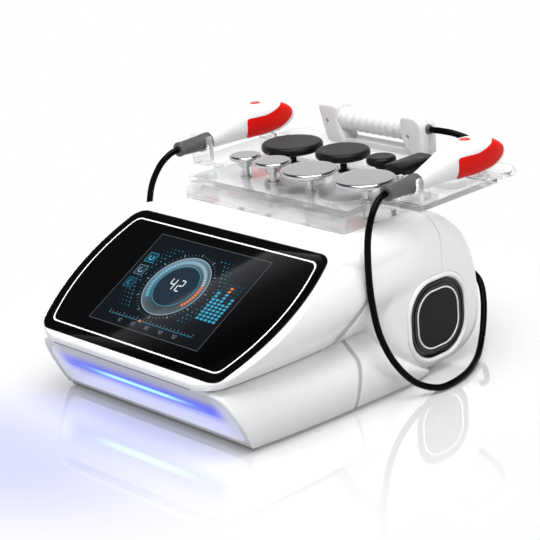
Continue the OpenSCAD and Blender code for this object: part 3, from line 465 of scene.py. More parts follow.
def acrylic(name):
    """Clear acrylic: light passes through it, with painted shade on its rims, a milky drift and tiny ripples."""
    tree, shader = principled(name, Transmission_Weight=0.86, IOR=1.2, Metallic=0.0, Coat_Weight=0.5)
    skin = node(tree, "ShaderNodeGroup", node_tree=MOULDING, in_Scale=14.0, in_Fine=300.0).outputs
    # painted shade: the colour darkens where the surface turns edge-on to the view, drawing dark rims
    rim = ranged(tree, node(tree, "ShaderNodeLayerWeight", in_Blend=0.5).outputs["Facing"], 0.55, 0.95)
    pale = mixed(tree, rim, (0.975, 0.978, 0.98, 1), (0.78, 0.785, 0.79, 1))
    feed(shader, Base_Color=mixed(tree, 1.0, pale, skin["Tone"], "MULTIPLY"),
         Roughness=maths(tree, "MULTIPLY", skin["Tone"], 0.012), Normal=bumped(tree, 0.02, 0.0005, skin["Height"]))


def board_green(name):
    """Solder mask over tracks: thin square lines of lighter green on dark green."""
    tree, shader = principled(name, Coat_Weight=0.4)
    tracks = node(tree, "ShaderNodeTexBrick", in_Vector=own_place(tree), in_Scale=160.0, in_Mortar_Size=0.06,
                  in_Color1=(0.006, 0.08, 0.03, 1), in_Color2=(0.008, 0.10, 0.035, 1),
                  in_Mortar=(0.03, 0.22, 0.09, 1)).outputs
    feed(shader, Base_Color=tracks["Color"], Roughness=scaled(tree, tracks["Fac"], 0.2, 0.3))


def sheet_metal(name, colour, roughness):
    """Rolled metal: noise drawn out along one direction marks the colour and the gloss."""
    tree, shader = principled(name, Metallic=1.0)
    drawn = node(tree, "ShaderNodeMapping", in_0=own_place(tree), in_Scale=(40, 900, 900)).outputs[0]
    grain = noise(tree, drawn, 1.0, 4.0)
    feed(shader, Base_Color=mixed(tree, grain, (*(0.85 * c for c in colour), 1), (*colour, 1)),
         Roughness=scaled(tree, grain, 0.15, roughness))


acrylic("clear_acrylic")
board_green("board_green")
sheet_metal("metal_case", (0.62, 0.63, 0.65), 0.25)
sheet_metal("socket_metal", (0.7, 0.69, 0.66), 0.15)
print("metals ready")

# %% [markdown]
# ## Cords
# Three cords run from the hand tools to sockets at the back. A cord keeps its length, so its path is set
# before anything else: listed points, then a smooth curve through them, then a round tube along it.
# The paths are those of the CAD model, in its own millimetres.

# %% Cord paths
CORD_RADIUS = 3.3
RIGHT_ROUTE = [
    (148, 13.7, 200.6), (149.3, 3, 197.6), (152.1, -9.9, 187), (155.2, -20.8, 165.9), (157.7, -25, 133.1),
    (158, -22.4, 100.7), (157.8, -14.5, 69.3), (163, -3, 40.4), (172, 14, 17), (180, 36, 5.5), (181, 60, 3.6),
    (174, 90, 3.8), (160, 120, 6), (147, 142, 14), (137, 158, 28), (126, 172, 44), (112, 184, 56),
    (97, 189, 62.5), (85, 185, 64), (82, 177.6, 64)]
LEFT_ROUTE = [(-x, y, z) for x, y, z in RIGHT_ROUTE]
GRIP_ROUTE = [
    (57.3, 181, 210.7), (70, 181.5, 211.2), (86, 185, 209.5), (101, 194, 202), (108, 207, 189),
    (101, 218, 172), (70, 218, 157), (37, 216, 144), (9, 212, 132), (-7, 206, 121), (-7, 200, 112),
    (3, 190, 104.5), (12, 183, 102.2), (12, 177.6, 102)]


def smooth_route(points, steps=10):
    """A smooth curve through the points: each span is a cubic that leaves along the line of its neighbours."""
    p = np.asarray(points, float)
    padded = np.vstack([p[0], p, p[-1]])
    a, b, c, d = (padded[i:len(p) - 1 + i, None, :] for i in range(4))
    t = (np.arange(steps) / steps)[None, :, None]
    curve = 0.5 * (2 * b + (c - a) * t + (2 * a - 5 * b + 4 * c - d) * t**2 + (3 * b - a - 3 * c + d) * t**3)
    return np.vstack([curve.reshape(-1, 3), p[-1]])


def tube(path, radius, sides=20):
    """A round tube along a path. The side vector is carried from ring to ring, so the tube never twists."""
    way = np.gradient(path, axis=0)
    way /= np.linalg.norm(way, axis=1, keepdims=True)
    side = np.zeros_like(way)
    carried = np.cross(way[0], [0.3, 0.2, 1.0])
    for i, w in enumerate(way):
        carried = carried - w * (carried @ w)
        carried /= np.linalg.norm(carried)
        side[i] = carried
    other = np.cross(way, side)
    angle = np.linspace(0, 2 * np.pi, sides, endpoint=False)[None, :, None]
    radius = np.broadcast_to(np.asarray(radius, float), (len(path),))[:, None, None]
    rings = path[:, None] + radius * (np.cos(angle) * side[:, None] + np.sin(angle) * other[:, None])
    return loft(rings, cap="fan")


def length_of(path):
    """The length of a path of points."""
    return float(np.linalg.norm(np.diff(path, axis=0), axis=1).sum())


# %% Cords and their plugs
PANEL_Y, PANEL_T, PANEL_Z, PANEL_HALF = 135.0, 2.5, 82.0, 39
SOCKETS = [(-82, -18), (82, -18), (12, 20)]


def plug_at(place):
    """A round plug with finger grooves and a tapered relief with rings, turned about the Y axis."""
    y = PANEL_Y + PANEL_T
    ribs = [(8.0 - 0.7 * (i % 2), 6.0 + 1.6 * i + 0.4) for i in range(10)]
    relief = [(5.6 - 0.16 * i - (0.7 if i % 3 == 2 else 0.0), 26.8 + 1.0 * i) for i in range(13)]
    profile = [(0, -7), (5.9, -7), (5.9, 2.3), (7.2, 2.3), (8.0, 3.1), *ribs, (8.0, 24.5), (7.0, 26.2),
               *relief, (3.9, 40.3), (0, 40.3)]
    return lathe(profile, 48, (place[0], y, PANEL_Z + place[1]), "y")


part("cord_plug_set", [plug_at(place) for place in SOCKETS], 40, "cord_black", "cord_plugs")


def hang_cord(name, route, stands_for):
    """One cord: its tube, and what it says of itself."""
    path = smooth_route(route)
    cord = make_object(name, [tube(path, CORD_RADIUS)], 60)
    cord.data.materials.append(finish["cord_black"])
    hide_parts(stands_for)
    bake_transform(cord)
    print(name, "is", round(length_of(path)), "mm long")


hang_cord("right_hand_cord", RIGHT_ROUTE, "right_cord")
hang_cord("left_hand_cord", LEFT_ROUTE, "left_cord")
hang_cord("bar_grip_cord", GRIP_ROUTE, "grip_cord")

# %% [markdown]
# ## The form of the body
# The whole body comes from a few outlines. Seen from the side, the screen plane rises to a flat deck, and the
# deck rolls down over the drum. Seen from above and from the front, the flanks bow outwards. The width at any
# place is then one formula, and every housing is that formula over its own part of the side view.

# %% Body outlines
DECK_Z, LIP_Y, LIP_Z, WAIST_Z = 160.0, 203.0, 72.4, 64.0
BULGE_W, BULGE_Z, WAIST_INSET, DECK_INSET = 157.5, 112.0, 29.0, 14.0
SHOULDER_R, RIM_R, NOSE_R, SEAM = 26.0, 4.0, 22.0, 0.8
BAND, BAND_DROP, GAP = 6.0, 12, 2.2
DECK_FOLD, LIP_ROUND, CREASE = 3.2, 3.0, 3.0
TAPER, TAPER_Y, EDGE_Y, EDGE_RUN = 7.5, 90, 70, 60
LEAN_ABOVE, LEAN_RUN = 6, 40
DRUM_R, DRUM_Y, DRUM_W, DRUM_TOP, DRUM_FOOT, COVER_Y = 78.0, 75.0, 147.0, 28.0, 14.0, 88.0
FLOOR_Z, DRUM_Z, OUTSIDE = 4.0, 82.0, -1000.0
TILT = math.radians(28.9)
SLOPE = math.tan(TILT)
GROOVE_Y, GROOVE_LEAN = -22.0, 34.0


def ease(t):
    """A soft step from 0 to 1."""
    k = np.clip(t, 0, 1)
    return k * k * (3 - 2 * k)


def quarter(r, d):
    """Height of a quarter round at distance d from its foot. The radius r may change from place to place."""
    d = np.clip(d, 0, r)
    return np.sqrt(np.maximum(r * r - (r - d) ** 2, 0))


def soft_min(a, b, k):
    """The smaller of two values, with the corner between them rounded over the distance k."""
    h = np.maximum(k - np.abs(a - b), 0) / k
    return np.minimum(a, b) - h * h * k / 4


def roof_z(y):
    """Upper outline: the screen plane and the deck with a soft fold between them, then the drum."""
    plane = LIP_Z + (y + LIP_Y) * SLOPE
    front = soft_min(plane, DECK_Z, DECK_FOLD) - (LIP_ROUND - quarter(LIP_ROUND, y + LIP_Y))
    back = DRUM_Z + (DECK_Z - DRUM_Z) * np.sqrt(np.maximum(1 - ((y - DRUM_Y) / DRUM_R) ** 2, 0))
    return np.where(y <= DRUM_Y, front, back)


def drum_power(y):
    """The foot of the drum is fuller behind its axis."""
    return np.where(y > DRUM_Y, 3.0, 2.0)


def keel_z(y):
    """Lower outline: the waist, then the foot of the drum."""
    q = np.minimum(np.abs(y - DRUM_Y) / DRUM_R, 1)
    n = drum_power(y)
    foot = DRUM_Z - DRUM_R * np.maximum(1 - q**n, 0) ** (1 / n)
    return np.where(y > DRUM_Y, foot, np.minimum(WAIST_Z, foot))


def plan_w(y):
    """Half width of the flank seen from above."""
    front = BULGE_W - TAPER * (np.maximum(-TAPER_Y - y, 0) / (LIP_Y - TAPER_Y)) ** 2
    return front - (BULGE_W - DRUM_W) * ease((y + TAPER_Y) / (COVER_Y + TAPER_Y))


def flank_w(y, z):
    """Half width of the flank at a height: widest at the bulge, drawn in to the waist and to the deck."""
    low = WAIST_INSET * (np.maximum(BULGE_Z - z, 0) / (BULGE_Z - WAIST_Z)) ** 2
    high = DECK_INSET * (np.maximum(z - BULGE_Z, 0) / (DECK_Z - BULGE_Z)) ** 2
    return plan_w(y) - low - high


def edge_r(y):
    """Radius of the upper edge: tight round the screen, wide along the deck."""
    return RIM_R + (SHOULDER_R - RIM_R) * ease((y + EDGE_Y) / EDGE_RUN)


def lean(z):
    """How far the seam between the housings leans forward at a height."""
    return GROOVE_LEAN * ease((BULGE_Z + LEAN_ABOVE - z) / LEAN_RUN)


def drum_end(y, z, inset=0.0):
    """Half width of the drum with its rounded end edges, far below zero outside its outline."""
    r = DRUM_R - inset
    k = np.where(z > DRUM_Z, (DECK_Z - DRUM_Z) / DRUM_R, 1.0)
    n = np.where(z < DRUM_Z, drum_power(y), 2.0)
    q = (np.abs((y - DRUM_Y) / r) ** n + np.abs((z - DRUM_Z) / (r * k)) ** n) ** (1 / n)
    d = (1 - q) * r
    edge = DRUM_FOOT + (DRUM_TOP - DRUM_FOOT) * ease((z - 15) / 90)
    return np.where(d < -0.5, OUTSIDE, DRUM_W - inset - edge + quarter(edge, d))


def soft_max(a, b, k):
    """The larger of two values, with the crease between them filled over the distance k."""
    h = np.maximum(k - np.abs(a - b), 0) / k
    return np.maximum(a, b) + h * h * k / 4


def mirrored(x, y, z):
    """Closed rings (stations, 2K, 3) from the right half of each section."""
    right = np.stack(np.broadcast_arrays(x, y, z), -1)
    left = right[:, ::-1] * np.array([-1, 1, 1])
    return np.concatenate([right, left], 1)


def section_heights(top, r, foot, n_arc=12, n_flank=34):
    """Heights down a section: round the upper edge by angle, then down the flank, close together at the foot."""
    a = angles(90, 0, n_arc)[None, :]
    arc = top - r + r * np.sin(a)
    t = np.linspace(0, 1, n_flank + 1)[None, 1:]
    flank = (top - r) + (foot - (top - r)) * (t + 0.25 * (t - t * t))
    return np.concatenate([arc, flank], 1), a


print("body is", 2 * BULGE_W, "mm wide at its bulge")

# %% [markdown]
# ## Screen housing
# The front housing carries the screen. Its sections are lofted from the lip to the seam, and the seam leans
# forward as it runs down. The flank has one soft fold where it leaves the rim. The recess for the glass is cut
# last, with a fine bevel round its edge, because the glass outline doesn't follow the sections. Below its foot
# a dark collar fills the shadow gap above the base; its dark colour is painted shade in the gap.


# %% Screen housing
LEAN_FROM, LEAN_BEHIND, FOOT_TUCK = 110, 20, (0.25, 0.8)


def lean_front(y, z):
    """Where a section of the screen housing lies at a height: it takes up the seam's lean towards the seam."""
    return y - lean(z) * ease((y + LEAN_FROM) / (GROOVE_Y + LEAN_FROM))


def lean_back(y, z):
    """Where a section behind the seam lies at a height: the lean dies out within a short way."""
    return y - lean(z) * (1 - ease((y - GROOVE_Y) / LEAN_BEHIND))


def housing_rings():
    """Sections of the screen housing, front to back. At the lip the corners round in plan and in height."""
    nose = -LIP_Y + NOSE_R * (1 - np.cos(angles(0, 90, 20)))
    body = np.linspace(-LIP_Y + NOSE_R + 3, GROOVE_Y - SEAM / 2 - 1.2, 62)
    turn = angles(15, 90, 5)
    end = GROOVE_Y - SEAM / 2
    y0 = np.concatenate([nose, body, end - 1.0 + np.sin(turn), [end]])[:, None]
    inset = np.concatenate([np.zeros(len(nose) + len(body)), 1.0 - np.cos(turn), [4.0]])[:, None]
    top = roof_z(y0) - inset
    r = edge_r(y0)
    z, a = section_heights(top, r, np.full_like(top, WAIST_Z + GAP))
    y = lean_front(y0, z)
    x = flank_w(y, np.minimum(z, top - r)) - inset - (NOSE_R - quarter(NOSE_R, y0 + LIP_Y))
    x[:, :a.shape[1]] += r * (np.cos(a) - 1)
    x[:, -2:] -= FOOT_TUCK
    return mirrored(np.maximum(x, 1), y, z)


DISPLAY_UP = 91.3
DISPLAY_Y = -LIP_Y + DISPLAY_UP * math.cos(TILT)
DISPLAY_Z = LIP_Z + DISPLAY_UP * math.sin(TILT)
GLASS_UP, GLASS_DOWN, GLASS_CORNER = 81.5, 85.0, 18.0
BOW_R, BOW_U, BOW_V = 208.0, -58, 8.0


def on_screen(points):
    """Points of the screen's own frame, right, up the slope and out of the glass, put into the machine."""
    u, v, w = np.moveaxis(np.asarray(points, float), -1, 0)
    return np.stack([u, DISPLAY_Y + v * math.cos(TILT) - w * math.sin(TILT),
                     DISPLAY_Z + v * math.sin(TILT) + w * math.cos(TILT)], -1)


def glass_outline(inset=0.0, height=0.0, per=16):
    """The glass seen square on: level top and foot, bowed sides, rounded corners.
    Starts at the top middle on the right and runs clockwise, with its partner points mirrored."""
    up, down, big = GLASS_UP - inset, GLASS_DOWN - inset, BOW_R - inset
    corner = GLASS_CORNER - min(inset, 8.0)
    u_up = BOW_U + math.sqrt((big - corner) ** 2 - (up - corner - BOW_V) ** 2)
    u_down = BOW_U + math.sqrt((big - corner) ** 2 - (down - corner + BOW_V) ** 2)
    tilt_up = math.atan2(up - corner - BOW_V, u_up - BOW_U)
    tilt_down = math.atan2(-(down - corner) - BOW_V, u_down - BOW_U)
    turn_up = np.linspace(math.pi / 2, tilt_up, per)
    side = np.linspace(tilt_up, tilt_down, 2 * per)[1:-1]
    turn_down = np.linspace(tilt_down, -math.pi / 2, per)
    u = np.concatenate([u_up * np.linspace(0.02, 0.98, per), u_up + corner * np.cos(turn_up),
                        BOW_U + big * np.cos(side), u_down + corner * np.cos(turn_down),
                        u_down * np.linspace(0.98, 0.02, per)])
    v = np.concatenate([np.full(per, up), up - corner + corner * np.sin(turn_up),
                        BOW_V + big * np.sin(side), -down + corner + corner * np.sin(turn_down),
                        np.full(per, -down)])
    return both_halves(np.stack([u, v, np.full_like(u, height)], -1))


def glass_rings(steps):
    """Rings of the glass outline at (inset, height) steps, in the machine's frame."""
    return on_screen(np.stack([glass_outline(i, h) for i, h in steps]))


housing = make_object("screen_housing_shell", [loft(housing_rings())], 32)
recess = make_object("recess", [loft(glass_rings([(-0.3, -3.3), (-0.3, -0.5), (-0.75, 0.0), (-0.75, 12)]))])
carve(housing, [recess], crisp=32)
fit(housing, "white_shell", "machine", "screen_housing")

# painted shade: a dark collar sits in the gap under the housing's foot, so the gap reads as a dark line
along = np.linspace(12 - LIP_Y, GROOVE_Y - 40, 40)[:, None]
collar_x = flank_w(along, WAIST_Z) - 1.2 - (NOSE_R - quarter(NOSE_R, along + LIP_Y))
collar_z = np.array([[WAIST_Z + 4, WAIST_Z - 0.4]])
part("housing_shade_collar", [loft(mirrored(collar_x, along, collar_z))], 35, "dark_cover")
print("screen housing", len(housing.data.polygons), "faces")

# %% [markdown]
# ## Middle housing and rear cover
# The middle housing is the barrel behind the screen and the front of the drum. The flank and the drum's
# rounded end are two width formulas, and the larger one wins, with a soft crease between them. The rear
# cover closes the drum. Both have a round-cornered pocket in each end face for the side rings, and the cover
# has a window at the back for the connector panel. A grey band, painted shade of the groove between the
# housings, lies in the seam on both flanks, below the deck.


# %% Middle housing and rear cover
def middle_rings():
    """Sections of the middle housing from the seam to the drum's own seam, with a step for the grey band of painted
    shade.
    """
    start, end = GROOVE_Y + SEAM / 2, COVER_Y - SEAM / 2
    turn = angles(90, 15, 5)
    step = start + BAND
    body = np.concatenate([np.linspace(step + 1.2, -4.5, 12), -3 + 14 * np.linspace(0, 1, 18) ** 1.7,
                           np.linspace(12.5, end - 1.2, 58)])
    y0 = np.concatenate([[start, start, step], step + 1 - np.sin(turn), body, end - 1 + np.sin(turn[::-1]), [end]])
    soft = 1 - np.cos(turn)
    inset = np.concatenate([[4.0, 1.3, 1.3], soft, np.zeros(len(body)), soft[::-1], [4.0]])
    return middle_sections(y0[:, None], inset[:, None])


def middle_sections(y0, inset, drop=0.0):
    """Closed sections of the barrel and the drum at places y0, each drawn in by its inset, the top by drop more."""
    top, foot = roof_z(y0) - inset - drop, keel_z(y0) + inset
    r = edge_r(y0)
    a = angles(90, 0, 16)[None, :]
    t = np.sin(angles(0, 90, 86))[None, 1:]
    z = np.concatenate([top - r + r * np.sin(a), (top - r) + (foot - top + r) * t], 1)
    y = lean_back(y0, z)
    x = flank_w(y, np.minimum(z, top - r)) - inset
    x[:, :a.shape[1]] += r * (np.cos(a) - 1)
    barrel = np.where(z < WAIST_Z - 1e-6, OUTSIDE, x)
    return mirrored(np.maximum(soft_max(barrel, drum_end(y, z, inset), CREASE), 2), y, z)


def cover_rings():
    """Sections of the rear cover, close together where the drum turns down at the back."""
    start, back = COVER_Y + SEAM / 2, DRUM_Y + DRUM_R - 0.03
    turn = angles(90, 15, 5)
    body = start + 1.2 + (back - start - 1.2) * np.sin(angles(0, 90, 56))
    y = np.concatenate([[start], start + 1 - np.sin(turn), body])[:, None]
    inset = np.concatenate([[4.0], 1 - np.cos(turn), np.zeros(len(body))])[:, None]
    q = (y - DRUM_Y) / DRUM_R
    top = DRUM_Z + (DECK_Z - DRUM_Z) * np.sqrt(np.maximum(1 - q * q, 0)) - inset
    foot = DRUM_Z - DRUM_R * np.maximum(1 - q**3, 0) ** (1 / 3) + inset
    t = close_ends(90)[None, :]
    z = top + (foot - top) * t
    x = np.maximum(drum_end(y, z, inset), DRUM_W - DRUM_TOP - inset)
    return mirrored(x, np.broadcast_to(y, z.shape), z)


def round_square(half, r, per=14):
    """A square of half width half with corners of radius r, anticlockwise, as (count, 2)."""
    a = angles(0, 90, per)
    corner = np.stack([half - r + r * np.cos(a), half - r + r * np.sin(a)], -1)
    turns = [np.array([[1, 0], [0, 1]]), np.array([[0, 1], [-1, 0]]),
             np.array([[-1, 0], [0, -1]]), np.array([[0, -1], [1, 0]])]
    return np.concatenate([corner @ m for m in turns])


RING_Y, RING_Z, POCKET_X = 79.0, 57.0, 144.5
SIDES, LIP_CORNER = (-1, 1), 0.8


def ring_stack(side, profile, per=20):
    """Outlines round the side ring's centre, one for each (half width, corner radius, height above the pocket)."""
    outlines = []
    for half, r, height in profile:
        y, z = round_square(half, r, per).T
        outlines.append(np.stack([side * np.full(len(y), POCKET_X + height), RING_Y + y, RING_Z + z], -1))
    return np.stack(outlines)


def ring_pockets():
    """Cutters for the pockets in both drum ends, with a fine bevel at the mouth."""
    steps = [(half, half * LIP_CORNER, height) for half, height in ((44.5, 0), (44.5, 2.2), (45.0, 2.7), (45.0, 30))]
    return make_object("pockets", [loft(ring_stack(side, steps), cap="fan") for side in SIDES])


def box_shape(low, high):
    """A plain box between two corners, for cutting."""
    x, y, z = zip(low, high)
    p = np.array([(a, b, c) for a in x for b in y for c in z], float)
    return p, [(0, 1, 3, 2), (4, 6, 7, 5), (0, 4, 5, 1), (2, 3, 7, 6), (0, 2, 6, 4), (1, 5, 7, 3)]


middle = make_object("middle_housing_shell", [loft(middle_rings())], 30)
carve(middle, [ring_pockets()], crisp=30)
fit(middle, "white_shell", "machine", "middle_housing")
# painted shade: a grey band in the seam's step stands for the shadow of the groove between the housings
edges = GROOVE_Y + SEAM / 2 + np.array([[0.05], [0.05], [BAND - 0.1], [BAND - 0.1]])
shade_band_inset = np.array([[4.0], [0.95], [0.95], [4.0]])
part("seam_shade_band", [loft(middle_sections(edges, shade_band_inset, BAND_DROP))], 30, "panel_grey")

cover = make_object("rear_cover_shell", [loft(cover_rings())], 30)
window = make_object("window", [box_shape((-100, PANEL_Y, PANEL_Z - PANEL_HALF), (100, 175, PANEL_Z + PANEL_HALF))])
well = make_object("well", [box_shape((-96, 95, PANEL_Z - 35), (96, PANEL_Y + 5, PANEL_Z + 35))])
carve(cover, [window, well, ring_pockets()], crisp=30)
fit(cover, "white_shell", "machine", "rear_cover")
print("middle housing", len(middle.data.polygons), "faces, rear cover", len(cover.data.polygons), "faces")

# %% [markdown]
# ## Side rings
# Each drum end carries a soft white lip, a polished black ring with a groove, a thin white line and a matt
# cap. All four are profiles carried round a square with large corners, and the corner radius changes from the
# outer edge to the inner one, as on the real machine.


# %% Side rings
LIP_IN, LIP_OUT, LIP_HIGH, RING_FOOT = 38.8, 44.35, 4.3, 0.05


def lip_profile(count=22):
    """Half an ellipse from the pocket wall to the black ring, on a short straight foot."""
    b = angles(180, 0, count)
    half = LIP_IN + (LIP_OUT - LIP_IN) * (0.5 + 0.5 * np.cos(b))
    height = (0.35 + 0.65 * np.sin(b)) * LIP_HIGH
    points = [(LIP_IN, RING_FOOT), *zip(half, height), (LIP_OUT, RING_FOOT)]
    return [(h, h * LIP_CORNER, t) for h, t in points]


ring_profile = [
    (30.05, 23.4, 0.05), (30.05, 23.4, 2.5), (30.4, 23.8, 2.85), (33.7, 27.3, 2.9), (33.95, 27.6, 2.75),
    (34.1, 27.7, 1.95), (35.3, 28.8, 1.95), (35.45, 28.9, 2.75), (35.7, 29.1, 2.9), (37.9, 30.6, 2.85),
    (38.4, 30.9, 2.45), (38.45, 31.0, 0.05)]
line_profile = [(28.65, 22.3, 0.05), (28.65, 22.3, 3.0), (28.85, 22.5, 3.2), (29.8, 23.1, 3.2),
                (30.0, 23.3, 3.0), (30.0, 23.3, 0.05)]
cap_steps = [(28.6, 22.25, 0.05), (28.6, 22.25, 2.4), (28.2, 21.9, 2.75), (24.0, 19.0, 2.8), (12.0, 9.6, 2.82)]

for name, profile, crisp, slot in (
        ("lip", lip_profile(), 50, "white_shell"), ("ring", ring_profile, 28, "gloss_black"),
        ("line", line_profile, 28, "white_line")):
    pair = [torus_grid(ring_stack(side, profile)) for side in SIDES]
    part(f"side_{name}_pair", pair, crisp, slot, f"side_{name}s")
pair = [loft(ring_stack(side, cap_steps), cap="fan") for side in SIDES]
part("side_cap_pair", pair, 28, "matt_black", "side_caps")
print("side rings ready")

# %% [markdown]
# ## Base
# The base swells out below the housings and wraps round the foot of the drum. Its front leans back towards
# the table and is open, and the light panel sits in the opening. The flank runs from a sloping ledge under
# the screen over a soft shoulder down to the bottom cover. A groove with a grey band crosses the flank upright.

# %% Base and the light panel's outline
TOE_Y, BASE_END = 167.0, 64.0
BASE_SEAM, BASE_LEAN, LEAN_REACH, UPRIGHT_Z = 0.56, 0.0017, 0.12, 19
SHOULDER_HIGH, SHOULDER_LOW, SHOULDER_END = 61.0, 51.0, -30
BASE_W, BASE_SWELL = 142.0, 11.5
PANEL_IN, PANEL_LOW, PANEL_HIGH = 6.3, 9.3, 57.7


def face_y(z):
    """The leaning plane of the base front."""
    return -TOE_Y + (-LIP_Y + 6 + TOE_Y) * (z - FLOOR_Z) / (WAIST_Z - FLOOR_Z)


def shoulder_z(y):
    """Height of the flank's shoulder: level beside the screen, falling behind it."""
    front = SHOULDER_HIGH + (SHOULDER_LOW - SHOULDER_HIGH) * ease((y + 195) / 130)
    fall = SHOULDER_LOW - FLOOR_Z - 1.5
    back = SHOULDER_LOW - fall * (np.maximum(y - SHOULDER_END, 0) / 96) ** 1.35
    return np.where(y < SHOULDER_END, front, back)


def base_plan(y):
    """Half width of the flank before its swell, seen from above."""
    front = BASE_W - 13.0 * (np.maximum(20 - y, 0) / 190) ** 2
    return front - 9.0 * (np.maximum(y - 20, 0) / 46) ** 2


def base_w(y, z):
    """Half width with the swell: a half ellipse between the floor and the shoulder."""
    top = shoulder_z(y)
    mid = (FLOOR_Z + top) / 2
    reach = np.where(z > mid, top - mid + 1, mid - FLOOR_Z + 8)
    return base_plan(y) + BASE_SWELL * np.sqrt(np.maximum(1 - ((z - mid) / reach) ** 2, 0))


def base_ring(u, inset=0.0, back=0.0, rows=34):
    """One ring of the base at u from the front, 0, to the back, 1: ledge, shoulder, flank. The rings near the
    grey band are turned, so that the band stands upright in the picture."""
    def y_at(z):
        """The place of the ring at a height, between the front and the back."""
        turned = u + BASE_LEAN * (z - UPRIGHT_Z) * math.exp(-((u - BASE_SEAM) / LEAN_REACH) ** 2)
        return face_y(z) * (1 - turned) + BASE_END * turned + back
    y_shoulder = y_at(shoulder_z(y_at(WAIST_Z)))
    shoulder = shoulder_z(y_shoulder)
    z = shoulder + (FLOOR_Z - shoulder) * close_ends(rows)
    waist = flank_w(np.minimum(y_at(WAIST_Z), 0), WAIST_Z) - 2
    ledge_x = np.linspace(waist, base_w(y_at(shoulder), shoulder), 8)[:-1]
    ledge_z = np.linspace(WAIST_Z - 0.3, shoulder, 8)[:-1]
    x = np.concatenate([[waist], ledge_x, base_w(y_at(z), z)])
    z = np.concatenate([[WAIST_Z], ledge_z, z])
    y = y_at(z)
    middle_z = (WAIST_Z + FLOOR_Z) / 2
    z = middle_z + (z - middle_z) * (1 - inset / 30)
    return both_halves(np.stack([x - inset, y, z], -1))


def opening_ring(inset, back, low, high, count, r_top=17.0, r_low=9.0):
    """The outline of the front opening, a wall inside the flanks, with rounded ends, set back from the front."""
    z = high + (low - high) * close_ends(count)
    round_in = (r_top - quarter(r_top, high - z)) + (r_low - quarter(r_low, z - low))
    return both_halves(np.stack([base_w(face_y(z), z) - inset - round_in, face_y(z) + back, z], -1))


half_count = len(base_ring(0.0)) // 2
roll = angles(90, 0, 6)
front_rings = [opening_ring(*edge, half_count)
               for edge in ((6.0, 7.5, 9.0, 58.0), (6.0, 1.1, 9.0, 58.0), (5.2, 0.3, 8.2, 58.8))]
rolled = [base_ring(0.0, 2.0 * (1 - math.cos(b)), 2.0 * (1 - math.sin(b))) for b in roll]
along = np.concatenate([np.linspace(0.012, 0.9, 70), 0.9 + 0.1 * np.sin(angles(6, 90, 18))])
groove = [(BASE_SEAM + du, inset) for du, inset in ((-0.011, 0.0), (-0.0095, 0.8), (0.0095, 0.8), (0.011, 0.0))]
stations = sorted([(u, 0.0) for u in along if abs(u - BASE_SEAM) > 0.013] + groove)
stations = [base_ring(u, inset) for u, inset in stations]
base = part("base_shell_skin", [loft(front_rings + rolled + stations)], 30, "white_shell", "base_shell")
edges = [(-0.0094, 4.0), (-0.0094, 0.5), (0.0094, 0.5), (0.0094, 4.0)]
part("base_band", [loft([base_ring(BASE_SEAM + du, inset) for du, inset in edges])], 30, "panel_grey")

panel_steps = [(6.9, 0.8), (6.45, 0.95), (6.3, 1.4), (6.3, 4.8)]
panel_rings = [opening_ring(inset, back, PANEL_LOW + inset - PANEL_IN, PANEL_HIGH - inset + PANEL_IN, 40)
               for inset, back in panel_steps]
print("base", len(base.data.polygons), "faces")

# %% [markdown]
# ## Light panel, glass and inlaid line
# The light panel is a milky plate: the strip behind it shows as a bright blue band that ends inside the panel,
# with a lighter core. The plate is pale below the band, greyer above it and at its ends, so its light is a
# formula of height and of width. The grey above the band, in its glow and in its darker base colour, is painted
# shade under the overhanging lip. The screen is one pane of black glass with a rounded rim. A white line is let
# into a groove that follows the outline of the pane.


# %% Light panel, glass and inlaid line
def light_material():
    """Milky plate: colours by height, pale grey at both ends, cyan in the core, and painted shade of the lip at the
    top.
    """
    tree, shader = principled("light_face", Roughness=0.25, Coat_Weight=0.4)
    parts = node(tree, "ShaderNodeSeparateXYZ", in_0=own_place(tree)).outputs
    up = ranged(tree, parts[2], PANEL_LOW * MM, PANEL_HIGH * MM)
    across = maths(tree, "ABSOLUTE", parts[0])
    # the grey stops at the top of this ramp are painted shade under the overhanging lip
    by_height = ramped(tree, up, [
        (0.0, (0.68, 0.71, 0.98)), (0.30, (0.64, 0.66, 1.0)), (0.44, (0.34, 0.38, 1.0)), (0.53, (0.04, 0.08, 1.0)),
        (0.67, (0.04, 0.07, 1.0)), (0.77, (0.18, 0.20, 0.66)), (0.87, (0.36, 0.36, 0.42)), (1.0, (0.40, 0.40, 0.43))])
    fade = ranged(tree, across, 0.128, 0.104, "SMOOTHSTEP")
    core_up = maths(tree, "ABSOLUTE", maths(tree, "SUBTRACT", up, 0.585))
    core = maths(tree, "MULTIPLY", ranged(tree, core_up, 0.085, 0.015, "SMOOTHSTEP"),
                 ranged(tree, across, 0.10, 0.03, "SMOOTHSTEP"))
    ended = mixed(tree, fade, (0.56, 0.57, 0.72, 1), by_height)
    # painted shade: the base colour darkens towards the top, where the lip overhangs the panel
    feed(shader, Emission_Color=mixed(tree, core, ended, (0.30, 0.78, 1.0, 1)),
         Emission_Strength=scaled(tree, core, 0.45, 0.78),
         Base_Color=mixed(tree, up, (0.26, 0.26, 0.30, 1), (0.10, 0.10, 0.13, 1)))


light_material()
part("light_panel_face", [loft(panel_rings)], 30, "light_face", "light_panel")

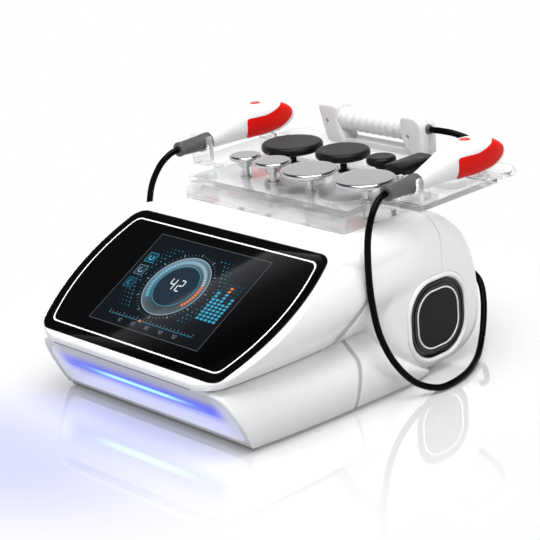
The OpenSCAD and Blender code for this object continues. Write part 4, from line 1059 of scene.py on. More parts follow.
moulded("glass_black", (0.0012, 0.0012, 0.0015), 0.04, 20, 500, 0.02, 0.003, 0.0002,
        Coat_Weight=0.3, Coat_Roughness=0.02, IOR=1.45)
pane = [(0.0, -3.2), (0.0, -0.8), (0.12, -0.5), (0.42, -0.34), (0.9, -0.3), (10.5, -0.3), (10.5, -0.9),
        (12.1, -0.9), (12.1, -0.3)]
part("screen_glass_pane", [loft(glass_rings(pane))], 25, "glass_black", "screen_glass")
inlay = [(10.52, -0.88), (10.52, -0.29), (12.08, -0.29), (12.08, -0.88)]
part("glass_line_inlay", [torus_grid(glass_rings(inlay))], 30, "white_line", "glass_line")
print("glass and light panel ready")

# %% [markdown]
# ## Screen picture
# The picture on the screen is made for this model: a round gauge with a scale, level bars, plain tiles and a
# row of numbers. It is built from flat shapes in millimetres, each with its own colour at its corners, and
# lies on the glass. It gives out light like a display and has the same gloss as the pane.


# %% Screen picture
NAVY, TEAL, PALE = np.array([0.002, 0.006, 0.016]), np.array([0.004, 0.10, 0.16]), np.array([0.42, 0.55, 0.66])
CYAN, ORANGE, WHITE = np.array([0.05, 0.42, 0.62]), np.array([0.85, 0.20, 0.05]), np.array([0.78, 0.84, 0.9])
PICTURE_W, LAYER_STEP = -0.28, 0.01
picture = []


def patch(u, v, colour, layer=0):
    """A grid of points (rows, columns) on the glass, with a colour for each point or one for all."""
    u, v = np.broadcast_arrays(np.asarray(u, float), np.asarray(v, float))
    colour = np.broadcast_to(colour, u.shape + (3,))
    points = on_screen(np.stack([u, v, np.full(u.shape, PICTURE_W + LAYER_STEP * layer)], -1)).reshape(-1, 3)
    picture.append((points, ring_faces(*u.shape, closed=False), colour.reshape(-1, 3)))


def bar(u0, v0, u1, v1, colour, layer=1):
    """A rectangle."""
    patch([[u0, u1], [u0, u1]], [[v0, v0], [v1, v1]], colour, layer)


def band(centre, inner, outer, start, end, colour, layer=1, steps=None):
    """Part of a ring from one angle to another, in degrees clockwise from the top."""
    steps = steps or max(2, int(abs(end - start) / 3) + 1)
    a = angles(start, end, steps)[None, :]
    r = np.array([[inner], [outer]])
    patch(centre[0] + r * np.sin(a), centre[1] + r * np.cos(a), colour, layer)


def number(text, u, v, height, colour, layer=3):
    """Digits of seven bars each, from the left edge u and the foot v."""
    bars = {"0": "abcdef", "1": "bc", "2": "abged", "3": "abgcd", "4": "fgbc", "5": "afgcd", "6": "afgedc",
            "7": "abc", "8": "abcdefg", "9": "abcdfg"}
    w, t = height * 0.52, height * 0.11
    spans = {"a": (t, height - t, w - t, height), "d": (t, 0, w - t, t),
             "g": (t, (height - t) / 2, w - t, (height + t) / 2), "b": (w - t, height / 2, w, height - t * 0.6),
             "c": (w - t, t * 0.6, w, height / 2), "f": (0, height / 2, t, height - t * 0.6),
             "e": (0, t * 0.6, t, height / 2)}
    for k, digit in enumerate(text):
        left = u + k * (w + height * 0.22)
        for name in bars[digit]:
            u0, v0, u1, v1 = spans[name]
            bar(left + u0 + 0.1, v + v0, left + u1 - 0.1, v + v1, colour, layer)


HALF_U, HALF_V, DIAL = 79.2, 57.9, (-7.0, 3.0)
EDGE, EDGE_GREY = 0.35, (0.10, 0.11, 0.12)
u, v = np.meshgrid(np.linspace(-HALF_U, HALF_U, 33), np.linspace(-HALF_V, HALF_V, 25))
near = np.exp(-((u - DIAL[0]) ** 2 / 2600 + (v - DIAL[1]) ** 2 / 1500))[..., None]
patch(u, v, (NAVY * 0.6 + (TEAL - NAVY) * near * 0.42) * 0.3)
for sign in SIDES:
    bar(-HALF_U, sign * HALF_V - EDGE, HALF_U, sign * HALF_V + EDGE, EDGE_GREY)
    bar(sign * HALF_U - EDGE, -HALF_V, sign * HALF_U + EDGE, HALF_V, EDGE_GREY)

# the gauge: a shaded disc, a scale of ticks and a level that runs from pale blue to orange
DISC_R, TICK_R, HUB_R, LEVEL_START, LEVEL_STEP, LEVELS = 37, 40.2, 25.5, -130, 5.9, 44
r, a = np.meshgrid(np.linspace(0.01, DISC_R, 12), angles(0, 360, 73), indexing="ij")
lit = 0.5 + 0.5 * (-np.sin(a) * 0.55 + np.cos(a) * 0.75) * r / DISC_R
glow = (0.03 + 0.24 * lit**1.6 + 0.12 * (r / DISC_R) ** 6)[..., None] * np.array([0.55, 0.83, 1.0])
patch(DIAL[0] + r * np.sin(a), DIAL[1] + r * np.cos(a), glow, 1)
band(DIAL, DISC_R, 37.7, 0, 360, PALE * 0.9, 2)
for k in range(60):
    angle = k * 6.0
    outer, half, strength = (43.6, 0.45, 0.9) if k % 5 == 0 else (42.2, 0.25, 0.45)
    band(DIAL, TICK_R, outer, angle - half, angle + half, PALE * strength, 2, 2)
for k in range(LEVELS):
    t = k / (LEVELS - 1)
    colour = CYAN * 1.2 + (WHITE * 0.7 - CYAN * 1.2) * t if t < 0.8 else ORANGE
    start = LEVEL_START + LEVEL_STEP * k
    band(DIAL, 29.5, 33.2, start, start + 4.3, colour, 3, 3)
band(DIAL, 0.2, HUB_R, 0, 360, (0.012, 0.03, 0.05), 3)
band(DIAL, HUB_R, 26.0, 0, 360, CYAN, 4)
number("42", DIAL[0] - 10.6, DIAL[1] - 6.0, 15.0, WHITE, 5)

# rows of dots fade out on both sides of the gauge
DOTS_FROM, DOTS_TO, DOT_U, DOT_V = 48, 72, 5.2, 4.5
for row in range(-9, 10):
    for column in range(-14, 15):
        du, dv = column * DOT_U + (row % 2) * DOT_U / 2, row * DOT_V
        u, v = DIAL[0] + du, DIAL[1] + dv
        gap = math.hypot(du, dv)
        if DOTS_FROM < gap < DOTS_TO and abs(u) < 76 and -34 < v < 44:
            size = 0.75 * (1 - (gap - 46) / 28)
            bar(u - size, v - size, u + size, v + size, CYAN * (1.0 - (gap - 46) / 30), 1)

# level bars on the right, plain tiles on the left, and a scale along the foot
BAR_U, BAR_V, TILE_L, TILE_R, TILE_HIGH, SCALE_V = 46.5, -25, -73, -60.5, 12.5, -45.7
for k, level in enumerate((9, 7, 11, 6, 8)):
    for step in range(12):
        colour = (ORANGE if step > 8 else CYAN) if step < level else TEAL * 0.35
        foot = BAR_V + 4.1 * step
        bar(BAR_U + 5.6 * k, foot, 50.3 + 5.6 * k, foot + 2.6, colour, 2)
for k, colour in enumerate((CYAN, PALE * 0.6, CYAN * 0.5)):
    low = 21 - 17 * k
    high = low + TILE_HIGH
    bar(TILE_L, low, TILE_R, high, (0.006, 0.035, 0.055), 2)
    for edge in ((TILE_L, low, TILE_R, low + 0.5), (TILE_L, high - 0.5, TILE_R, high),
                 (TILE_L, low, TILE_L + 0.5, high), (TILE_R - 0.5, low, TILE_R, high)):
        bar(*edge, colour, 3)
    band((-66.75, low + 6.25), 2.2, 3.4, 40 + 60 * k, 320 + 20 * k, colour * 1.3, 3)
bar(-60, SCALE_V - 0.5, 60, SCALE_V, CYAN * 0.7, 2)
for k in range(25):
    bar(-60 + 5 * k - 0.2, SCALE_V, -60 + 5 * k + 0.2, -43.2 if k % 4 else -41.8, PALE * 0.6, 2)
for k, text in enumerate(("10", "20", "30", "40", "50")):
    number(text, -42.2 + 20 * k, -53.0, 4.2, PALE * 0.8)
bar(-15.5, -47.2, -12.5, -44.7, ORANGE, 4)

points, faces, start = [], [], 0
for p, f, c in picture:
    points.append(p)
    faces.append(f + start)
    start += len(p)
mesh = raw_mesh("screen_picture", np.vstack(points) * MM, np.vstack(faces).tolist())
tint = mesh.color_attributes.new("tint", "FLOAT_COLOR", "POINT")
tint.data.foreach_set("color", np.hstack([np.vstack([c for _, _, c in picture]), np.ones((start, 1))]).ravel())
screen_picture = linked("screen_picture", mesh)


def display_material():
    """Display behind glass: it glows with the tint attribute, has faint pixel rows and the pane's gloss."""
    tree, shader = principled("display", Roughness=0.04, Coat_Weight=0.3, Coat_Roughness=0.02, IOR=1.45,
                              Base_Color=(0.004, 0.0042, 0.005, 1))
    tint = node(tree, "ShaderNodeAttribute", attribute_name="tint").outputs["Color"]
    rows = node(tree, "ShaderNodeTexWave", in_Vector=own_place(tree), in_Scale=900.0, bands_direction="X")
    feed(shader, Emission_Color=tint, Emission_Strength=scaled(tree, rows.outputs["Fac"], 0.1, 0.92))


display_material()
fit(screen_picture, "display", "machine")
print("screen picture", len(mesh.polygons), "faces")

# %% [markdown]
# ## Tray
# The tray is clear acrylic: a thick block with a rounded front edge on the deck, and a plate with wings on it.
# The plate has a hole for each electrode stem. Each wing carries an upright holder with a U for the sleeve of
# a handpiece, and a low rest behind it. The edges are polished, so each piece has a small bevel.


# %% Tray
TRAY_Z, PLATE_Z, HAND_X, HAND_Z, SHELL_FRONT = 176.0, 182.0, 148.0, 200.6, 57.0
HOLE_R, FOOT_Z, U_RADIUS, U_TOP = 3.9, PLATE_Z + 0.03, 9.9, 208
CHROME = {"small": (-57, 26, 16), "medium": (-17, 26, 19), "large": (37, 24, 28.5), "wide": (106, 30, 30.5)}
BLACK = {"wide": (-50, 86, 32), "large": (16, 93, 28), "small": (68, 94, 15)}
SQUARE = (104, 98, 26)


def prism(outline, low, high, axis="z"):
    """A flat outline (count, 2) drawn out along an axis. Its two coordinates are the other two axes in order."""
    outline = np.asarray(outline, float)
    rings = []
    for level in (low, high):
        c = np.full(len(outline), float(level))
        a, b = outline.T
        rings.append(np.stack({"x": (c, a, b), "y": (a, c, b), "z": (a, b, c)}[axis], -1))
    count = len(outline)
    faces = ring_faces(2, count).tolist() + [list(range(count)), list(range(2 * count - 1, count - 1, -1))]
    return np.concatenate(rings), faces


def arc(centre, radius, start, end, count=16):
    """Points of an arc, angles in degrees anticlockwise from the first axis."""
    a = angles(start, end, count)
    return np.stack([centre[0] + radius * np.cos(a), centre[1] + radius * np.sin(a)], -1)


def disc_cut(x, y, radius, low, high, sides=40):
    """A round cutter."""
    return lathe([(0, low), (radius, low), (radius, high), (0, high)], sides, (x, y, 0))


def clear_piece(name, shapes, bevel, stands_for, holes=()):
    """A piece of clear acrylic with polished edges, and with holes drilled through it."""
    piece = make_object(name, shapes, 25)
    if holes:
        carve(piece, [make_object("holes", holes)], crisp=25)
    soften(piece, bevel, 3, 40)
    fit(piece, "clear_acrylic", "machine", stands_for)


stem_places = [(x, y) for x, y, _ in (*CHROME.values(), *BLACK.values(), SQUARE)] + [(14, 60)]
side_view = np.vstack([arc((2.0, TRAY_Z - 11), 11, 180, 90, 18), [(114.2, TRAY_Z), (115, TRAY_Z - 0.8),
                       (115, DECK_Z + 0.1), (-9, DECK_Z + 0.1)]])
clear_piece("tray_block_clear", [prism(side_view, -113, 113, "x")], 0.8, "tray_block",
            [disc_cut(x, y, HOLE_R, 167, 180) for x, y in stem_places if abs(x) < 109])

half = [(113, -3), (113, 45), (162, 45), (162, 158), (138, 158), (138, 168), (158, 168), (158, 191), (144, 203)]
outline = np.array(half + [(-x, y) for x, y in half[::-1]], float)
clear_piece("tray_plate_clear", [prism(outline, TRAY_Z + 0.03, PLATE_Z)], 0.7, "tray_plate",
            [disc_cut(x, y, HOLE_R, 170, 190) for x, y in stem_places])

cradle = np.vstack([[(-15, FOOT_Z), (14, FOOT_Z), (14, U_TOP), (U_RADIUS, U_TOP)],
                    arc((0, HAND_Z), U_RADIUS, 0, -180, 28), [(-U_RADIUS, U_TOP), (-15, U_TOP)]])
clear_piece("front_holder_pair", [prism(cradle + (side * HAND_X, 0), 45, 51, "y") for side in SIDES], 0.6,
            "front_holders")
clear_piece("rear_holder_pair", [box_shape((side * HAND_X - 12, 140, FOOT_Z), (side * HAND_X + 12, 146, 189.7))
                                 for side in SIDES], 0.6, "rear_holders")
print("tray ready")

# %% [markdown]
# ## Electrodes
# Each electrode is turned: a plug-in stem, a collar that stops on the plate, a hub and a disc. The chrome
# discs are thin with a fully rounded edge, the black ones are thicker, and one black one is square.


# %% Electrodes
FACE_Z, CHROME_DISC, BLACK_DISC = 206.0, (4.6, 2.25), (8.5, 3.4)
STEM = [(0, 168), (3.2, 168), (3.6, 168.4), (3.6, 182.3), (5.7, 182.3), (6, 182.6), (6, 184), (5.7, 184.3),
        (3.6, 184.3), (3.6, 193.9), (6.3, 194), (6.6, 194.3), (6.6, 202), (0, 202)]


def electrode(colour, name, x, y, head, look):
    """One electrode: its stem, collar and hub, and the disc on top."""
    piece = make_object(f"{colour}_disc_{name}", [lathe(STEM, 40, (x, y, 0)), head], 40)
    fit(piece, f"{colour}_disc", f"disc_{colour}_{name}", f"{colour}_electrode_{name}", look=look)


def turned_disc(x, y, radius, thick, edge, sides=112):
    """A disc under the face height with a rounded edge: two quarter arcs of the edge radius."""
    low = arc((radius - edge, FACE_Z - thick + edge), edge, -90, 0, 9)
    high = arc((radius - edge, FACE_Z - edge), edge, 0, 90, 9)
    inner = [(radius * f, FACE_Z) for f in (0.75, 0.5, 0.25, 0.0)]
    return lathe([(0, FACE_Z - thick), (radius * 0.6, FACE_Z - thick), *low, *high, *inner], sides, (x, y, 0))


for name, (x, y, radius) in CHROME.items():
    turned_chrome(f"chrome_{name}", (x, y))
    electrode("chrome", name, x, y, turned_disc(x, y, radius, *CHROME_DISC), f"chrome_{name}")
for name, (x, y, radius) in BLACK.items():
    electrode("black", name, x, y, turned_disc(x, y, radius, *BLACK_DISC), "black_disc")


def soft_box(centre, half_u, half_v, r, per=8):
    """A rectangle with rounded corners, anticlockwise."""
    corners = [((1, 1), 0), ((-1, 1), 90), ((-1, -1), 180), ((1, -1), 270)]
    u, v = half_u - r, half_v - r
    return np.concatenate([arc((centre[0] + a * u, centre[1] + b * v), r, start, start + 90, per)
                           for (a, b), start in corners])


x, y, half_len = SQUARE
levels = [(0.9, 197.5), (0.3, 197.8), (0, 198.4), (0, 205.2), (0.3, 205.75), (0.9, FACE_Z)]
square = np.stack([np.hstack([soft_box((x, y), 12.5 - i, half_len - i, 4 - i), np.full((32, 1), z)])
                   for i, z in levels])
electrode("black", "square", x, y, loft(square, cap="fan"), "black_disc")
print("electrodes ready")

# %% [markdown]
# ## Handpieces
# A handpiece is a loft of superellipses along its length. Smooth curves give its top, its underside and its
# half width, so it starts as a narrow round neck and swells into a flat-bottomed head. The red pads wrap the
# sides of the head, let into shallow recesses. The push button stands in a hole on top.

# %% Handpieces
HAND_TOP = [(0, 9.0), (24, 16.6), (50, 23.5), (74, 25.5), (96, 22.5), (112, 15), (123, 4)]
HAND_LOW = [(0, -9.0), (24, -8.8), (50, -9), (74, -10.6), (96, -10), (112, -5.5), (123, 2.6)]
HAND_HALF = [(0, 8.9), (24, 12.3), (50, 16.6), (74, 19.4), (96, 18.6), (112, 14), (121, 7.5), (124, 3)]
HAND_LENGTH = 124


def glide(points, s):
    """A smooth curve through (place, value) points: cubic pieces whose slopes come from the neighbours."""
    px, py = np.asarray(points, float).T
    s = np.atleast_1d(np.asarray(s, float))
    slope = np.concatenate([[(py[1] - py[0]) / (px[1] - px[0])], (py[2:] - py[:-2]) / (px[2:] - px[:-2]),
                            [(py[-1] - py[-2]) / (px[-1] - px[-2])]])
    i = np.clip(np.searchsorted(px, s, side="right") - 1, 0, len(px) - 2)
    h = px[i + 1] - px[i]
    t = np.clip((s - px[i]) / h, 0, 1)
    return ((2 * t**3 - 3 * t**2 + 1) * py[i] + (t**3 - 2 * t**2 + t) * h * slope[i]
            + (3 * t**2 - 2 * t**3) * py[i + 1] + (t**3 - t**2) * h * slope[i + 1])


def hand_skin(grow=0.0, around=80):
    """The handpiece along +Y from its neck: superellipses |x/a|^n + |z/b|^n = 1 with n from 2 to 2.5."""
    s = np.concatenate([np.linspace(0, 108, 73), np.linspace(109, 122, 19), [122.8, 123.3, 123.7, HAND_LENGTH]])
    near = np.minimum(s, 122.5)
    top, low = glide(HAND_TOP, near) + grow, glide(HAND_LOW, near) - grow
    tip = np.clip((HAND_LENGTH - s) / 2.4, 0, 1)
    shrink = np.sqrt(np.maximum(1 - (1 - tip) ** 2, 0.04))[:, None]
    half = (glide(HAND_HALF, np.minimum(s, 123.5)) + grow)[:, None]
    n = (2 + 0.5 * ease(s / 60))[:, None]
    a = np.radians(np.arange(around) * 360 / around)[None, :]
    c, d = np.cos(a), np.sin(a)
    mid = ((top + low) / 2)[:, None]
    x = half * np.sign(c) * np.abs(c) ** (2 / n) * np.where(s[:, None] > 121.6, shrink, 1)
    crown = 2 / (n + np.where(d > 0, 0.7, 0) * ease((s[:, None] - 20) / 60))
    z = mid + (top[:, None] - mid) * np.sign(d) * np.abs(d) ** crown * shrink
    y = np.broadcast_to(s[:, None], x.shape)
    return loft(np.stack([x, y, z], -1), cap="fan")


def soft_corners(outline, r, per=7):
    """The outline with each corner replaced by a parabola that starts and ends r away from it."""
    outline = np.asarray(outline, float)
    before, after = np.roll(outline, 1, 0) - outline, np.roll(outline, -1, 0) - outline
    sizes = [np.linalg.norm(d, axis=1)[:, None] for d in (before, after)]
    reach = [np.minimum(r, 0.45 * size) * d / size for d, size in zip((before, after), sizes)]
    t = np.linspace(0, 1, per)[None, :, None]
    start, end, corner = (outline + reach[0])[:, None], (outline + reach[1])[:, None], outline[:, None]
    return ((1 - t) ** 2 * start + 2 * t * (1 - t) * corner + t**2 * end).reshape(-1, 2)


def inset(outline, d):
    """An anticlockwise outline moved inwards by d along the mitres of its corners."""
    outline = np.asarray(outline, float)
    edge = np.roll(outline, -1, 0) - outline
    normal = np.stack([-edge[:, 1], edge[:, 0]], -1) / np.linalg.norm(edge, axis=1)[:, None]
    last = np.roll(normal, 1, 0)
    return outline + d * (normal + last) / (1 + (normal * last).sum(1))[:, None]


PAD_EDGE = np.array([(44, 14.5), (43.5, -4), (47, -8), (70, -7), (92, -3.5), (110, 5), (113, 13), (107, 19),
                     (98, 20.5), (84, 17), (70, 14)], float)


def pad_cutter(name, grow, inner):
    """Prisms through both sides of the head, and only where they are within reach of the surface."""
    shape = soft_corners(inset(PAD_EDGE, -grow), 4.5)
    cutter = make_object(name, [prism(shape, 9, 32, "x"), prism(shape, -32, -9, "x")])
    return carve(cutter, [make_object("inner", [hand_skin(inner)])])


BUTTON_S, WINDOW_S, SOCKET_S = 71.0, 104.0, 98.0
button_top = float(glide(HAND_TOP, BUTTON_S)[0])
window_top = float(glide(HAND_TOP, WINDOW_S)[0])
socket_low = float(glide(HAND_LOW, SOCKET_S)[0]) - 1.4

shell = make_object("hand", [hand_skin()])
button_hole = make_object("button_hole", [disc_cut(0, BUTTON_S, 5.8, button_top - 6, 40, 64)])
socket_hole = make_object("socket_hole", [disc_cut(0, SOCKET_S, 5.55, -30, socket_low + 10.4, 56)])
window_slot = make_object("window_slot", [box_shape((-5.8, WINDOW_S - 1.8, window_top - 2.2),
                                                    (5.8, WINDOW_S + 1.8, 40))])
carve(shell, [pad_cutter("pad_recess", 0.28, -1.6), button_hole, socket_hole, window_slot], crisp=32)
pads = make_object("pads", [hand_skin(0.55)])
carve(pads, [pad_cutter("pad_keep", 0.0, -1.4)], "INTERSECT", 38)
# the button's heights are counted from the crown of the shell, the socket's from its own mouth
button = [(0, -4.4), (4.5, -4.4), (5.5, -3.6), (5.5, -0.4), (5.3, 0.15), (4.9, 0.35), (3.4, 0.42), (3.2, 0.2),
          (2.4, 0.2), (2.2, 0.42), (0, 0.45)]
button = make_object("button", [lathe([(r, button_top + h) for r, h in button], 64, (0, BUTTON_S, 0))], 30)
window_bar = make_object("window", [box_shape((-5.6, WINDOW_S - 1.6, window_top - 2.1),
                                              (5.6, WINDOW_S + 1.6, window_top - 0.5))])
socket = [(3.9, 0), (5.4, 0), (5.6, 0.2), (5.6, 10.4), (0, 10.4), (0, 8.4), (3.9, 8.4), (3.9, 0)]
socket = make_object("socket", [lathe([(r, socket_low + h) for r, h in socket], 56, (0, SOCKET_S, 0))], 30)
sleeve = make_object("sleeve", [lathe([
    (0, 0), (8.9, 0), (9.1, -0.3), (9.1, -3.2), (8.7, -3.5), (8.7, -4.3), (9.1, -4.6), (9.0, -8), (8.6, -10),
    (8.3, -16), (7.3, -38.6), (7.7, -39.4), (7.8, -41.0), (7.6, -42.4), (7.1, -43), (3.9, -43),
    (3.8, -41), (0, -41)], 72, axis="y")], 30)
hand_parts = {
    "shell": (shell, "white_part"), "pads": (pads, "pad_red"), "button": (button, "button_red"),
    "window": (window_bar, "gloss_black"), "socket": (socket, "socket_metal"), "sleeve": (sleeve, "sleeve_grey")}
for label, (source, slot) in hand_parts.items():
    body = "trigger" if label == "button" else "handpiece"
    for side, sign in (("left", -1), ("right", 1)):
        mesh = source.data.copy()
        mesh.transform(Matrix.Translation(np.array([sign * HAND_X, SHELL_FRONT, HAND_Z]) / 1000))
        fit(linked(f"{side}_hand_{label}", mesh), slot, f"{side}_{body}", f"{side}_{label}")
    bpy.data.objects.remove(source)
print("handpieces ready")

# %% [markdown]
# ## Bar grip
# The bar grip lies across the back of the tray. Two end blocks with bevelled faces stand on a low foot, and a
# round bar with nine ribs joins them. The ribs are one formula for the radius along the bar. The whole is
# joined first and then split into its two moulded halves.

# %% Bar grip
GRIP_Y, GRIP_LOW, BAR_Z, GLAND_Z = 181.0, 182.3, 208.1, 210.7
SCREWS = ((-81, 205.3), (35, 202.8))
LEFT_LEG = [(-95.5, 223.3), (-82.5, 182.3), (-55, 182.3), (-66, 208.1), (-66, 224.3)]
RIGHT_BLOCK = [(24, 224.3), (24, 202.1), (36, 182.3), (54, 182.3), (54, 216.3), (45, 224.3)]


def end_block(outline, deep=12.0, bevel=3.2):
    """An outline in X and Z drawn out to both sides of the grip's middle, rounded over at each face."""
    turn = angles(0, 90, 7)
    front = [(-deep + bevel * (1 - math.sin(b)), bevel * (1 - math.cos(b))) for b in turn[::-1]]
    rings = []
    for y, d in front + [(-y, d) for y, d in front[::-1]]:
        ring = soft_corners(inset(outline, d), 7.0 - d)
        rings.append(np.insert(ring, 1, GRIP_Y + y, axis=1))
    return loft(np.stack(rings), cap="fan")


def ribbed_bar(ribs=9, step=9.78, first=-60.11):
    """Radius 11 along the bar; each rib adds an ellipse 3.3 long and 2.2 high round a radius of 10.2."""
    x = np.linspace(-70, 30, 401)
    radius = np.full_like(x, 11.0)
    for k in range(ribs):
        q = (x - first - k * step) / 3.3
        radius = np.maximum(radius, np.where(np.abs(q) < 1, 10.2 + 2.2 * np.sqrt(np.maximum(1 - q * q, 0)), 0))
    profile = [(0, x[0]), *zip(radius, x), (0, x[-1])]
    return lathe(profile, 72, (0, GRIP_Y, BAR_Z), "x")


def at_screws(profile):
    """The profile turned about the Y axis at both screws."""
    return [lathe(profile, 32, (x, 0, z), "y") for x, z in SCREWS]


grip = make_object("grip", [end_block(LEFT_LEG)])
others = [make_object("block", [end_block(RIGHT_BLOCK)]), make_object("bar", [ribbed_bar()]),
          make_object("foot", [box_shape((-67, GRIP_Y - 9, GRIP_LOW), (37, GRIP_Y + 9, GRIP_LOW + 6))])]
carve(grip, others, "UNION", 32)
gland_hole = [(0, 42), (5.2, 42), (5.2, 70), (0, 70)]
gland_hole = make_object("gland_hole", [lathe(gland_hole, 48, (0, GRIP_Y, GLAND_Z), "x")])
screw_holes = make_object("screw_holes", at_screws([(0, 160), (2.6, 160), (2.6, 171.6), (0, 171.6)]))
carve(grip, [gland_hole, screw_holes], crisp=32)
for name, low, high in (("front", 100, GRIP_Y - 0.12), ("rear", GRIP_Y + 0.12, 250)):
    piece = linked(f"grip_{name}_moulding", grip.data.copy())
    carve(piece, [make_object("keep", [box_shape((-150, low, 150), (150, high, 260))])], "INTERSECT", 32)
    fit(piece, "white_part", "bar_grip", f"grip_{name}_half")
bpy.data.objects.remove(grip)

heads = at_screws([(0, 172.6), (2.3, 172.6), (2.4, 172.4), (2.4, 171.2), (2.1, 170.9), (0, 170.9)])
grip_screws = make_object("grip_screw_pair", heads, 30)
for x, z in SCREWS:
    for a, b in ((1.5, 0.3), (0.3, 1.5)):
        cross = make_object("cross", [box_shape((x - a, 170, z - b), (x + a, 171.5, z + b))])
        carve(grip_screws, [cross], crisp=30)
fit(grip_screws, "socket_metal", "bar_grip", "grip_screws")

# the contact plate lies on the slanted left end: 13 mm out over 41 mm up
lean_angle = math.atan2(13, 41)
across = np.array([-math.cos(lean_angle), 0, -math.sin(lean_angle)])
along = np.array([-math.sin(lean_angle), 0, math.cos(lean_angle)])
points, faces = box_shape((0, -9.6, 4), (1.5, 9.6, 37))
points = (np.array([-81, GRIP_Y, GRIP_LOW]) + points[:, [0]] * across + points[:, [2]] * along
          + points[:, [1]] * (0, 1, 0))
contact = make_object("grip_contact_plate", [(points, faces)], 30)
soften(contact, 0.5, 3)
sheet_metal("contact_metal", (0.35, 0.36, 0.38), 0.25)
fit(contact, "metal_case", "bar_grip", "grip_plate", look="contact_metal")
gland = [(0, 42), (5, 42), (5, 54.2), (4.6, 54.6), (4.6, 55.2), (4.9, 55.4), (4.6, 56.0), (4.3, 56.2), (4.3, 56.8),
         (3.9, 57.0), (0, 57.0)]
part("grip_cord_gland", [lathe(gland, 40, (0, GRIP_Y, GLAND_Z), "x")], 30, "sleeve_grey", "grip_gland",
     body="bar_grip")
print("bar grip ready")

# %% [markdown]
# ## Pieces carried over from the CAD model
# The parts that show little are used as they are. They get finishes of their own: the bottom cover, the feet,
# the connector panel with its inlet, switch, sockets and fan, and the boards and cases inside.

# %% Finishes of the CAD pieces
carried_over = {
    "bottom_cover": "dark_cover", "rubber_feet": "rubber_black", "led_strip": "white_line",
    "lcd_module": "metal_case", "rear_panel": "panel_grey", "power_inlet": "matt_black",
    "power_switch": "switch_red", "cord_sockets": "socket_metal", "fan_frame": "fan_black",
    "fan_rotor": "fan_black", "fan_guard": "socket_metal", "main_board": "board_green",
    "rf_module": "metal_case", "power_supply": "metal_case"}
for name, look in carried_over.items():
    nodes[name].data.materials.clear()
    nodes[name].data.materials.append(finish[look])
    soften(nodes[name], 0.25, 2, 35)
print(len(carried_over), "CAD pieces finished")

# %% [markdown]
# ## Stage and light
# The machine stands on a pale, partly mirroring floor that turns into plain white further out. In front of the
# light panel the floor has a painted lavender pool of the panel's light, in its colour and in its glow, since a
# white floor can't show added blue. It passes little light back up, so that the undersides stay dark. Large soft
# lamps from above and from the sides model the white shells, and most of them are kept out of the reflections.
# A card that only reflections see lays a lighter area on the lower right of the glass.


# %% Floor and world
FLOOR_GLOW, FLOOR_RADIUS, FLOOR_SIDES = 0.10, 8, 96
PLAIN_FROM, PLAIN_AT = 0.20, 0.44
PANEL_LIGHT_LAVENDER = (0.34, 0.38, 1.0, 1)


def any_ray(tree, *kinds):
    """1 where the light path is one of the kinds of ray."""
    path = node(tree, "ShaderNodeLightPath").outputs
    value = path[kinds[-1]]
    for kind in kinds[-2::-1]:
        value = maths(tree, "MAXIMUM", path[kind], value)
    return value


def floor_material():
    """Glossy white near the machine, plain white light further out, painted lavender light where the panel shines."""
    tree, shader = principled("floor", IOR=3.0, Metallic=0.30)
    place = own_place(tree)
    flat = vector(tree, "MULTIPLY", place, (1, 1, 0))
    far = ranged(tree, length(tree, flat), PLAIN_FROM, PLAIN_AT, "SMOOTHSTEP")
    glow = 0.0
    # painted light: two lavender pools of the panel's light, a wide one and a strip under the front edge
    for centre, size, amount in (((-0.05, -0.30), (0.29, 0.19), 0.44), ((0.0, -0.205), (0.17, 0.045), 0.15)):
        reach = length(tree, vector(tree, "DIVIDE", vector(tree, "SUBTRACT", flat, (*centre, 0)), (*size, 1)))
        panel_light_pool = ranged(tree, reach, 1.0, 0.0, "SMOOTHERSTEP")
        glow = scaled(tree, panel_light_pool, amount, glow, True)
    tint = mixed(tree, glow, (1, 1, 1, 1), PANEL_LIGHT_LAVENDER)
    shown = any_ray(tree, "Is Camera Ray", "Is Glossy Ray", "Is Transmission Ray")
    bounce = mixed(tree, shown, (0.28, 0.28, 0.28, 1), (0.80, 0.80, 0.805, 1))
    feed(shader, Base_Color=mixed(tree, 1.0, tint, bounce, "MULTIPLY"), Emission_Color=tint,
         Roughness=scaled(tree, noise(tree, place, 30.0, 2.0), 0.02, 0.03), Emission_Strength=FLOOR_GLOW)
    plain = node(tree, "ShaderNodeEmission", in_Color=tint).outputs[0]
    mix = node(tree, "ShaderNodeMixShader", in_0=far, in_1=shader.outputs[0], in_2=plain).outputs[0]
    feed(next(made for made in tree.nodes if made.type == "OUTPUT_MATERIAL"), Surface=mix)


floor_material()
angle = np.radians(np.arange(FLOOR_SIDES) * 360 / FLOOR_SIDES)
rim = np.stack([FLOOR_RADIUS * np.cos(angle), FLOOR_RADIUS * np.sin(angle), 0 * angle], -1)
floor = linked("floor", raw_mesh("floor", rim, [list(range(FLOOR_SIDES))]))
floor.data.materials.append(finish["floor"])

world = bpy.data.worlds.new("studio")
world.use_nodes = True
scene.world = world
sky = world.node_tree
sky.nodes.clear()
way = node(sky, "ShaderNodeTexCoord").outputs["Generated"]
height = node(sky, "ShaderNodeSeparateXYZ", in_0=way).outputs[2]
studio = ramped(sky, height, [(stop, (level, level, level * 1.01))
                              for stop, level in ((0.0, 1.0), (0.34, 0.8), (0.52, 0.03), (0.9, 0.03))])
seen = mixed(sky, any_ray(sky, "Is Glossy Ray"), (0.30, 0.303, 0.31, 1), studio)
final = mixed(sky, any_ray(sky, "Is Camera Ray", "Is Transmission Ray"), seen, (1, 1, 1, 1))
backdrop = node(sky, "ShaderNodeBackground", in_Color=final).outputs[0]
node(sky, "ShaderNodeOutputWorld", in_Surface=backdrop)


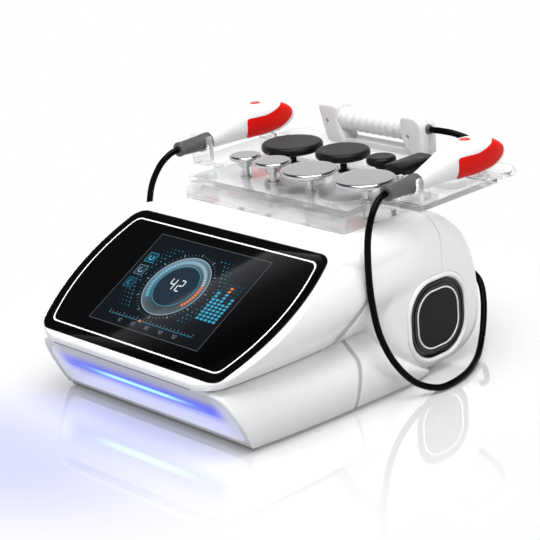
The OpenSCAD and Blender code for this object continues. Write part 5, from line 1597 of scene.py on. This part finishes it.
# %% Lamps
def soft_lamp(name, place, aim, size, power, colour=(1, 1, 1), reflected=True):
    """A rectangular lamp at a place in metres that looks at a point."""
    lamp = linked(name, bpy.data.lights.new(name, "AREA"))
    lamp.data.shape, lamp.data.size, lamp.data.size_y = "RECTANGLE", size[0], size[1]
    lamp.data.energy, lamp.data.color = power, colour
    back = (np.array(place) - np.array(aim)) / np.linalg.norm(np.array(place) - np.array(aim))
    side = np.cross((0, 0, 1), back)
    side = side / np.linalg.norm(side)
    lamp.matrix_world = facing(side, np.cross(back, side), back, place)
    lamp.visible_glossy = reflected


MIDDLE = (0, 0, 0.1)
soft_lamp("top", (0.25, -0.1, 1.5), MIDDLE, (1.2, 1.2), 33)
soft_lamp("left", (-1.3, -0.9, 0.9), MIDDLE, (0.9, 0.9), 4.0, reflected=False)
soft_lamp("right", (1.3, -0.35, 1.15), MIDDLE, (0.6, 0.9), 5.4, reflected=False)
soft_lamp("front", (1.1, -1.1, 0.6), MIDDLE, (1.0, 0.6), 2.2, reflected=False)

# the card's edge in the picture, on the glass, and how far each row of its corners lies beyond it, in pixels
CARD_EDGE, CARD_WAY, CARD_STRENGTH = ((59.0, 363.4), (328.0, 217.7)), (0.476, 0.879), 0.95
CARD_ROWS = ((0, 0.35, 1.0), (12, 0.2, 0.45), (35, 0.03, 0.09), (75, 0.0, 0.0))


def reflected_from_glass(px, py, reach=1.0):
    """Where the line of sight through a picture point goes after the glass: r = d - 2 (d.n) n, reach metres on."""
    sight = (cam_right * (px - PICTURE_PIXELS / 2) - cam_up * (py - PICTURE_PIXELS / 2)
             - cam_back * FOCAL_PIXELS)
    sight /= np.linalg.norm(sight)
    normal = np.array([0, -math.sin(TILT), math.cos(TILT)])
    foot = np.array([0, DISPLAY_Y, DISPLAY_Z]) / 1000
    hit = cam_place + sight * ((foot - cam_place) @ normal) / (sight @ normal)
    return hit + reach * (sight - 2 * (sight @ normal) * normal)


card_points, card_levels = [], []
for away, *row in CARD_ROWS:
    for (px, py), level in zip(CARD_EDGE, row):
        card_points.append(reflected_from_glass(px + CARD_WAY[0] * away, py + CARD_WAY[1] * away))
        card_levels.append(level)
card = linked("card", raw_mesh("card", card_points, [(k, k + 1, k + 3, k + 2) for k in (0, 2, 4)]))
level = card.data.color_attributes.new("level", "FLOAT_COLOR", "POINT")
level.data.foreach_set("color", np.repeat(card_levels, 4))
card_material = bpy.data.materials.new("card")
card_material.use_nodes = True
tree = card_material.node_tree
tree.nodes.clear()
level = node(tree, "ShaderNodeAttribute", attribute_name="level").outputs["Color"]
glow = node(tree, "ShaderNodeEmission", in_Color=level, in_Strength=CARD_STRENGTH).outputs[0]
node(tree, "ShaderNodeOutputMaterial", in_Surface=glow)
card.data.materials.append(card_material)
card.visible_camera = card.visible_diffuse = card.visible_shadow = card.visible_transmission = False
soft_lamp("panel_glow", (0.0, -0.215, 0.045), (-0.02, -0.33, 0.0), (0.22, 0.02), 0.06, (0.28, 0.32, 1.0), False)
print("stage ready")

# %% Update the scene
bpy.context.view_layer.update()
